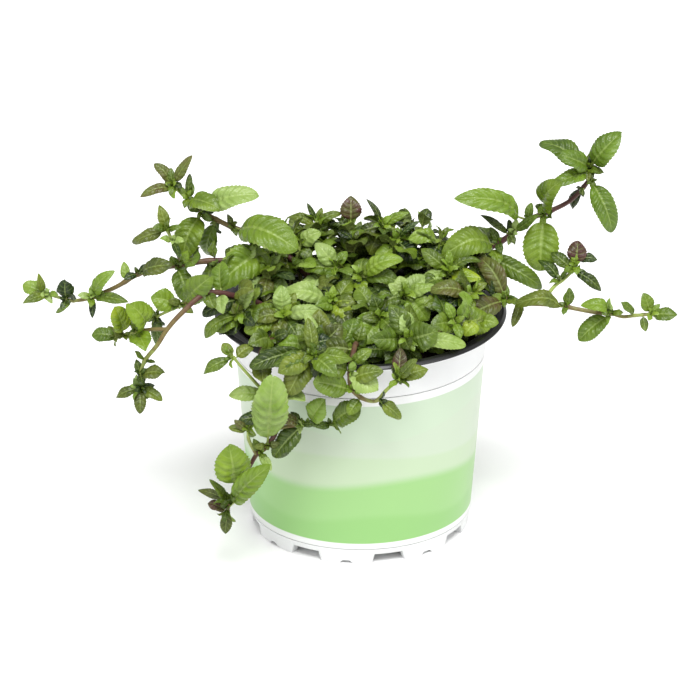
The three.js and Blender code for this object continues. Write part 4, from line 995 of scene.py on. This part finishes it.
class Shader:
    """A Principled material and short calls that wire nodes into it."""

    def __init__(self, name, **settings):
        self.material = bpy.data.materials.new(name)
        self.material.use_nodes = True
        self.tree = self.material.node_tree
        self.tree.nodes.clear()
        self.main = self.tree.nodes.new("ShaderNodeBsdfPrincipled")
        self.node("OutputMaterial", {"Surface": self.main.outputs[0]}, None)
        self.spot = self.node("TexCoord", {}, "Object")
        for socket, value in settings.items():
            self.give(socket.replace("_", " "), value)

    def put(self, socket, value):
        if isinstance(value, bpy.types.NodeSocket):
            self.tree.links.new(value, socket)
        else:
            socket.default_value = value

    def give(self, socket, value):
        self.put(self.main.inputs[socket], value)

    def node(self, kind, inputs, output=0, **settings):
        """Adds a node with its settings and inputs, and returns one of its outputs."""
        node = self.tree.nodes.new("ShaderNode" + kind)
        for name, value in settings.items():
            setattr(node, name, value)
        for socket, value in inputs.items():
            self.put(node.inputs[socket], value)
        return None if output is None else node.outputs[output]

    def maths(self, operation, *values):
        return self.node("Math", dict(enumerate(values)), operation=operation)

    def scaled(self, value, size, start=0.0):
        return self.maths("MULTIPLY_ADD", value, size, start)

    def mix(self, share, first, second):
        return self.node("Mix", {0: share, 6: first, 7: second}, 2, data_type="RGBA")

    def step(self, value, low, high, start=0.0, end=1.0):
        """value eased from start to end as it goes from low to high."""
        inputs = dict(enumerate((value, low, high, start, end)))
        return self.node("MapRange", inputs, interpolation_type="SMOOTHSTEP")

    def noise(self, per_metre, detail=2.0, roughness=0.5):
        inputs = {"Vector": self.spot, "Scale": per_metre, "Detail": detail, "Roughness": roughness}
        return self.node("TexNoise", inputs, "Fac")

    def cell_edges(self, per_metre):
        inputs = {"Vector": self.spot, "Scale": per_metre}
        return self.node("TexVoronoi", inputs, "Distance", feature="DISTANCE_TO_EDGE")

    def attribute(self, name, output="Vector"):
        return self.node("Attribute", {}, output, attribute_name=name)

    def parts(self, vector):
        return self.node("SeparateXYZ", {0: vector}).node.outputs

    def bump(self, height, strength, distance):
        self.give("Normal", self.node("Bump", {"Height": height, "Strength": strength, "Distance": distance}))


def leaf_shader(name, colours, roughness, purple_bias):
    shader = Shader(name, Specular_IOR_Level=0.36)
    dark, light, pale, yellow, purple, vein = [rgb(*colour) for colour in colours]
    tone, yellowness, purpleness = shader.parts(shader.attribute("look"))
    row, across, _ = shader.parts(shader.attribute("vein"))
    patches = shader.noise(140, 3)
    fine = shader.noise(900)
    tone = shader.maths("ADD", tone, shader.scaled(patches, 0.5, -0.25))
    colour = shader.mix(shader.step(tone, 0, 1), dark, light)
    colour = shader.mix(shader.step(tone, 0.75, 1.1), colour, pale)
    golden = shader.maths("MULTIPLY", yellowness, shader.step(patches, 0.3, 0.7, 0.3, 0.9))
    colour = shader.mix(golden, colour, yellow)
    veil = shader.maths("MULTIPLY", shader.maths("ADD", purpleness, purple_bias),
                        shader.step(patches, 0.35, 0.65, 0.55, 1.0))
    colour = shader.mix(veil, colour, purple)
    lateral = shader.step(shader.maths("PINGPONG", row, 0.5), 0.03, 0.16, LATERAL_SHARE, 0.0)
    lateral = shader.maths("MULTIPLY", lateral, shader.step(across, 0.98, 0.55, 0.2, 1.0))
    midrib = shader.step(across, 0.04, 0.12, MIDRIB_SHARE, 0.0)
    shader.give("Base Color", shader.mix(shader.maths("MAXIMUM", lateral, midrib), colour, vein))
    shader.give("Roughness", shader.scaled(fine, 0.1, roughness))
    net = shader.step(shader.cell_edges(700), 0.0, 0.25)
    shader.bump(shader.maths("ADD", net, shader.scaled(fine, 0.5)), 0.35, 0.0002)
    return shader.material


def stalk_shader():
    shader = Shader("stalk", Specular_IOR_Level=0.4)
    streaks = shader.noise(420, 3)
    age = shader.maths("ADD", shader.attribute("look", "Alpha"), shader.scaled(streaks, 0.5, -0.25))
    green, tan, brown = [rgb(*colour) for colour in STALK_COLOURS]
    colour = shader.mix(shader.step(age, 0.1, 0.5), green, tan)
    shader.give("Base Color", shader.mix(shader.step(age, 0.45, 0.95), colour, brown))
    shader.give("Roughness", shader.scaled(streaks, 0.2, 0.4))
    shader.bump(streaks, 0.3, 0.0002)
    return shader.material


def plastic_shader(name, colour, roughness):
    shader = Shader(name, Specular_IOR_Level=0.5)
    cloud = shader.noise(30, 3)
    *full, alpha = rgb(*colour)
    dull = (*(PLASTIC_DULLNESS * part for part in full), alpha)
    shader.give("Base Color", shader.mix(shader.step(cloud, 0.3, 0.7), (*full, alpha), dull))
    shader.give("Roughness", shader.scaled(cloud, 0.12, roughness))
    shader.bump(shader.noise(1500), 0.12, 0.0001)
    return shader.material


def label_shader():
    """Soft green bands that meet in waves, on a pale film with white margins."""
    shader = Shader("label_print", Specular_IOR_Level=0.5)
    x, y, z = shader.parts(shader.spot)
    angle = shader.maths("ARCTAN2", x, shader.maths("MULTIPLY", y, -1))
    colour = rgb(*LOWEST_BAND)
    for (height, size, turns, phase, soft), band in BANDS:
        swing = shader.maths("SINE", shader.scaled(angle, turns, phase))
        away = shader.maths("SUBTRACT", z, shader.scaled(swing, size * MM, height * MM))
        colour = shader.mix(shader.step(away, -soft * MM, soft * MM), colour, rgb(*band))
    low = shader.step(z, PRINT_LOW[0] * MM, PRINT_LOW[1] * MM)
    high = shader.step(z, PRINT_HIGH[0] * MM, PRINT_HIGH[1] * MM, 1.0, 0.0)
    shader.give("Base Color", shader.mix(shader.maths("MULTIPLY", low, high), rgb(*MARGIN_COLOUR), colour))
    shader.give("Roughness", shader.scaled(shader.noise(60), 0.1, 0.3))
    return shader.material


def soil_shader():
    shader = Shader("soil", Specular_IOR_Level=0.25)
    clumps = shader.noise(260, 6, 0.7)
    dark, light = [rgb(*colour) for colour in SOIL_COLOURS]
    shader.give("Base Color", shader.mix(shader.step(clumps, 0.35, 0.7), dark, light))
    shader.give("Roughness", shader.step(clumps, 0.3, 0.7, 0.8, 1.0))
    shader.bump(shader.noise(1200, 5, 0.7), 0.8, 0.0008)
    return shader.material


# ---- pot, sleeve and soil ----
def wall_outside(z):
    return WALL_FOOT_RADIUS + WALL_SLOPE * z


RECESS = SLEEVE_THICKNESS + CLEARANCE


def wall_inside(z):
    return wall_outside(z) - RECESS - WALL_THICKNESS


def rounded(corners):
    """Points and kinds of an outline of corners (r, z, rounding, kind), each cut by a short curve."""
    points = []
    for i, (r, z, rounding, kind) in enumerate(corners):
        here = vec(r, z)
        if rounding == 0 or i in (0, len(corners) - 1):
            points.append((here, kind))
            continue
        before, after = vec(*corners[i - 1][:2]), vec(*corners[i + 1][:2])
        start = here + unit(before - here) * rounding
        end = here + unit(after - here) * rounding
        for share in np.linspace(0, 1, 5):
            points.append((lerp(lerp(start, here, share), lerp(here, end, share), share), kind))
    return points


def foot_height(angle):
    """How high the ring of feet ends at an angle: up in the gaps, and a little in each foot's step."""
    period = 360 / FOOT_COUNT
    slant = math.degrees(FOOT_SLANT / wall_outside(0))
    from_gap = abs((angle - FOOT_GAP_AZIMUTH + 90 + period / 2) % period - period / 2)
    from_step = period / 2 - from_gap
    gap = PLATE_BOTTOM * (1 - (from_gap - FOOT_GAP_ANGLE / 2) / slant)
    step = FOOT_STEP_HEIGHT * (1 - (from_step - FOOT_STEP_ANGLE / 2) / slant)
    return max(0, min(gap, PLATE_BOTTOM), min(step, FOOT_STEP_HEIGHT))


def make_turned(name, corners, materials, lowest=None):
    """A turned surface with its corners rounded. lowest(radius, angle) is how low its points may go."""
    outline_points = rounded(corners)
    angles = np.arange(TURN_STEPS) * 360 / TURN_STEPS
    turns = np.radians(angles)
    rows = []
    for (radius, z), _ in outline_points:
        heights = [max(z, lowest(radius, angle)) if lowest else z for angle in angles]
        rows.append(np.stack([radius * np.cos(turns), radius * np.sin(turns), heights], -1))
    mesh = Mesh()
    kinds = np.repeat([kind for _, kind in outline_points[1:]], TURN_STEPS)
    mesh.add(rows, grid_faces(len(rows), TURN_STEPS, closed=True), kinds)
    return mesh.make(name, materials)


def sharpen(thing):
    edges = thing.modifiers.new("split", "EDGE_SPLIT")
    edges.split_angle = math.radians(SHARP_ANGLE)


WHITE, BLACK = 0, 1


def make_pot(white, black):
    foot_inner = wall_inside(0) - FOOT_WIDTH + WALL_THICKNESS
    outside = [
        (AXIS, 0, 0), (PAD_RADIUS, 0, 0.4), (PAD_RADIUS + 1.5, PLATE_BOTTOM, 0.4),
        (foot_inner, PLATE_BOTTOM, 0.3), (foot_inner, 0, 0.3), (wall_outside(0) - 0.5, 0, 0.4),
        (wall_outside(SLEEVE_BOTTOM), SLEEVE_BOTTOM - CLEARANCE, 0.3),
        (wall_outside(SLEEVE_BOTTOM) - RECESS, SLEEVE_BOTTOM - CLEARANCE, 0.1),
        (wall_outside(COLLAR_BOTTOM) - RECESS, COLLAR_BOTTOM, 0.1),
        (wall_outside(COLLAR_BOTTOM), COLLAR_BOTTOM, 0.25), (wall_outside(FLARE_START), FLARE_START, 0.8),
        *LIP_UNDERSIDE,
    ]
    inside = [
        *LIP_TOP, (wall_inside(FLARE_START), FLARE_START, 0.8), (wall_inside(PLATE_TOP), PLATE_TOP, 0.6),
        (AXIS, PLATE_TOP, 0),
    ]
    corners = [*((*corner, WHITE) for corner in outside), *((*corner, BLACK) for corner in inside)]
    thing = make_turned("pot_shell", corners, [white, black],
                        lambda radius, angle: foot_height(angle) if radius > foot_inner - 1 else 0)
    drill(thing, drain_pins())
    sharpen(thing)
    return thing


def drain_pins():
    """Upright pins that fill the holes of the base plate, as one object."""
    mesh = Mesh()
    for i in range(DRAIN_COUNT):
        azimuth = (i + 0.5) * 2 * math.pi / DRAIN_COUNT
        foot = vec(DRAIN_CIRCLE * math.cos(azimuth), DRAIN_CIRCLE * math.sin(azimuth), PLATE_BOTTOM - 2)
        points = [foot, foot + vec(0, 0, PLATE_TOP - PLATE_BOTTOM + 4)]
        add_tube(mesh, points, [DRAIN_RADIUS] * 2, np.zeros((2, 4)), DRAIN_SIDES, kind=WHITE)
    return mesh.make("drain_pins", [])


def drill(thing, pins):
    """Cuts the pins out of the thing, and takes them away."""
    cut = thing.modifiers.new("holes", "BOOLEAN")
    cut.operation = "DIFFERENCE"
    cut.object = pins
    holed = bpy.data.meshes.new_from_object(thing.evaluated_get(bpy.context.evaluated_depsgraph_get()))
    thing.modifiers.clear()
    thing.data = holed
    bpy.data.objects.remove(pins)


def make_sleeve(film):
    low, high = SLEEVE_BOTTOM, SLEEVE_TOP
    foot = (wall_outside(low) - SLEEVE_THICKNESS, low, 0, 0)
    corners = [
        foot, (wall_outside(low), low, SLEEVE_ROUNDING, 0), (wall_outside(high), high, SLEEVE_ROUNDING, 0),
        (wall_outside(high) - SLEEVE_THICKNESS, high, 0, 0), foot,
    ]
    thing = make_turned("label_film", corners, [film])
    sharpen(thing)
    return thing


def make_soil(earth, rng):
    """A plug of soil with a lumpy top, and loose crumbs on it."""
    def waves(steepness, count):
        reach = (-steepness, steepness)
        return [(rng.uniform(*reach), rng.uniform(*reach), rng.uniform(0, 6.3)) for _ in range(count)]

    def height(waves, x, y):
        return sum(np.sin(a * x + b * y + c) for a, b, c in waves) / len(waves)

    coarse, fine = waves(*COARSE_LUMPS[1:]), waves(*FINE_LUMPS[1:])

    def lump(x, y):
        return COARSE_LUMPS[0] * height(coarse, x, y) + FINE_LUMPS[0] * height(fine, x, y)

    turns = np.arange(SOIL_COLUMNS) * 2 * math.pi / SOIL_COLUMNS
    ring = np.stack([np.cos(turns), np.sin(turns)])
    bottom = PLATE_TOP + CLEARANCE
    outer = wall_inside(SOIL_TOP) - CLEARANCE
    rim = SOIL_TOP - SOIL_EDGE_DROP
    rows = [(AXIS, bottom), (wall_inside(bottom) - CLEARANCE, bottom), (outer, rim)]
    for i in range(1, SOIL_RINGS):
        radius = outer * (1 - i / SOIL_RINGS) + AXIS
        rows.append((radius, rim + min(1, i / 4) * (SOIL_EDGE_DROP + lump(*(radius * ring)))))
    points = [np.stack([*(radius * ring), z + 0 * turns], -1) for radius, z in rows]
    mesh = Mesh()
    mesh.add(points, grid_faces(len(rows), SOIL_COLUMNS, closed=True), 0)
    for _ in range(CRUMB_COUNT):
        radius, angle = (outer - 1.5) * math.sqrt(rng.random()), rng.uniform(0, 2 * math.pi)
        x, y = radius * math.cos(angle), radius * math.sin(angle)
        size = rng.uniform(*CRUMB_SIZE)
        centre = vec(x, y, SOIL_TOP + lump(x, y) + size * 0.2)
        ball = []
        for polar in np.linspace(0.05, math.pi - 0.05, CRUMB_ROWS):
            for turn in np.arange(CRUMB_COLUMNS) * 2 * math.pi / CRUMB_COLUMNS:
                reach = size * rng.uniform(*CRUMB_SHAPE)
                flat = math.sin(polar) * vec(math.cos(turn), math.sin(turn), 0)
                ball.append(centre + reach * (flat + vec(0, 0, CRUMB_FLATNESS * math.cos(polar))))
        mesh.add(ball, grid_faces(CRUMB_ROWS, CRUMB_COLUMNS, closed=True)[:, ::-1], 0)
    return mesh.make("soil_top", [earth])


# ---- the whole plant ----
def dress(thing, node):
    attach(thing, "root")
    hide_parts(node)


foliage = [leaf_shader("leaf_top", LEAF_TOP_COLOURS, 0.28, 0.0),
           leaf_shader("leaf_under", LEAF_UNDER_COLOURS, 0.44, 0.03), stalk_shader()]
pot = make_pot(plastic_shader("white_plastic", WHITE_PLASTIC, 0.3),
               plastic_shader("black_plastic", BLACK_PLASTIC, 0.29))
dress(pot, "pot")
dress(make_sleeve(label_shader()), "label_sleeve")
dress(make_soil(soil_shader(), np.random.default_rng(SOIL_SEED)), "soil")

shoots = [*FRONT_SHOOTS, *back_shoots()]
for i, (name, limbs) in enumerate(LONG_STEMS.items()):
    grown = grow_long(name, limbs, np.random.default_rng(100 + i))
    dress(grown.make(name + "_leafy", foliage, marked=True), name)
for i, (root, tip, rows) in enumerate(shoots):
    name = f"shoot_{i + 1:02d}"
    pairs = FRONT_PAIRS if i < len(FRONT_SHOOTS) else BACK_PAIRS
    grown = grow_shoot(name, root, tip, rows, pairs, np.random.default_rng(200 + i))
    dress(grown.make(name + "_leafy", foliage, marked=True), name)

# ---- floor, light and camera ----
CAMERA_BACK = 2000
CAMERA_HEIGHT = 968
CAMERA_LEFT = 5.1
CAMERA_PITCH = 24.018
CAMERA_LENS = 275.1
WORLD_STRENGTH = 0.55
FLOOR_REACH = 6000
FLOOR_COLOUR = (250, 250, 250)
# Lamps: name, the way they shine, strength and softness.
LAMPS = [
    ("key", (-0.08, 0.62, -1.25), 2.9, 32), ("fill", (0.8, 0.8, -0.5), 0.6, 40),
    ("side", (-0.8, 0.45, -0.75), 0.7, 22),
]


def make_floor():
    shader = Shader("floor", Roughness=0.9)
    shader.give("Base Color", rgb(*FLOOR_COLOUR))
    corners = FLOOR_REACH * np.array([(-1, -1, 0), (1, -1, 0), (1, 1, 0), (-1, 1, 0)])
    mesh = Mesh()
    mesh.add(corners, [(0, 1, 2, 3)], 0)
    mesh.make("floor", [shader.material])


def add_sun(name, towards, strength, softness):
    """A soft light from far away. softness is the angle that it fills, in degrees."""
    lamp = bpy.data.lights.new(name, "SUN")
    lamp.energy = strength
    lamp.angle = math.radians(softness)
    holder = link(bpy.data.objects.new(name, lamp))
    holder.rotation_euler = Vector(towards).to_track_quat("-Z", "Y").to_euler()


make_floor()
world = bpy.data.worlds.new("studio")
world.use_nodes = True
background = world.node_tree.nodes["Background"].inputs
background["Color"].default_value = (1, 1, 1, 1)
background["Strength"].default_value = WORLD_STRENGTH
bpy.context.scene.world = world
for lamp_row in LAMPS:
    add_sun(*lamp_row)

lens = bpy.data.cameras.new("camera")
lens.lens = CAMERA_LENS
lens.clip_end = 20
camera = link(bpy.data.objects.new("camera", lens))
camera.location = (-CAMERA_LEFT * MM, -CAMERA_BACK * MM, CAMERA_HEIGHT * MM)
camera.rotation_euler = (math.radians(90 - CAMERA_PITCH), 0, 0)
bpy.context.scene.camera = camera
bpy.context.scene.view_settings.view_transform = "Standard"
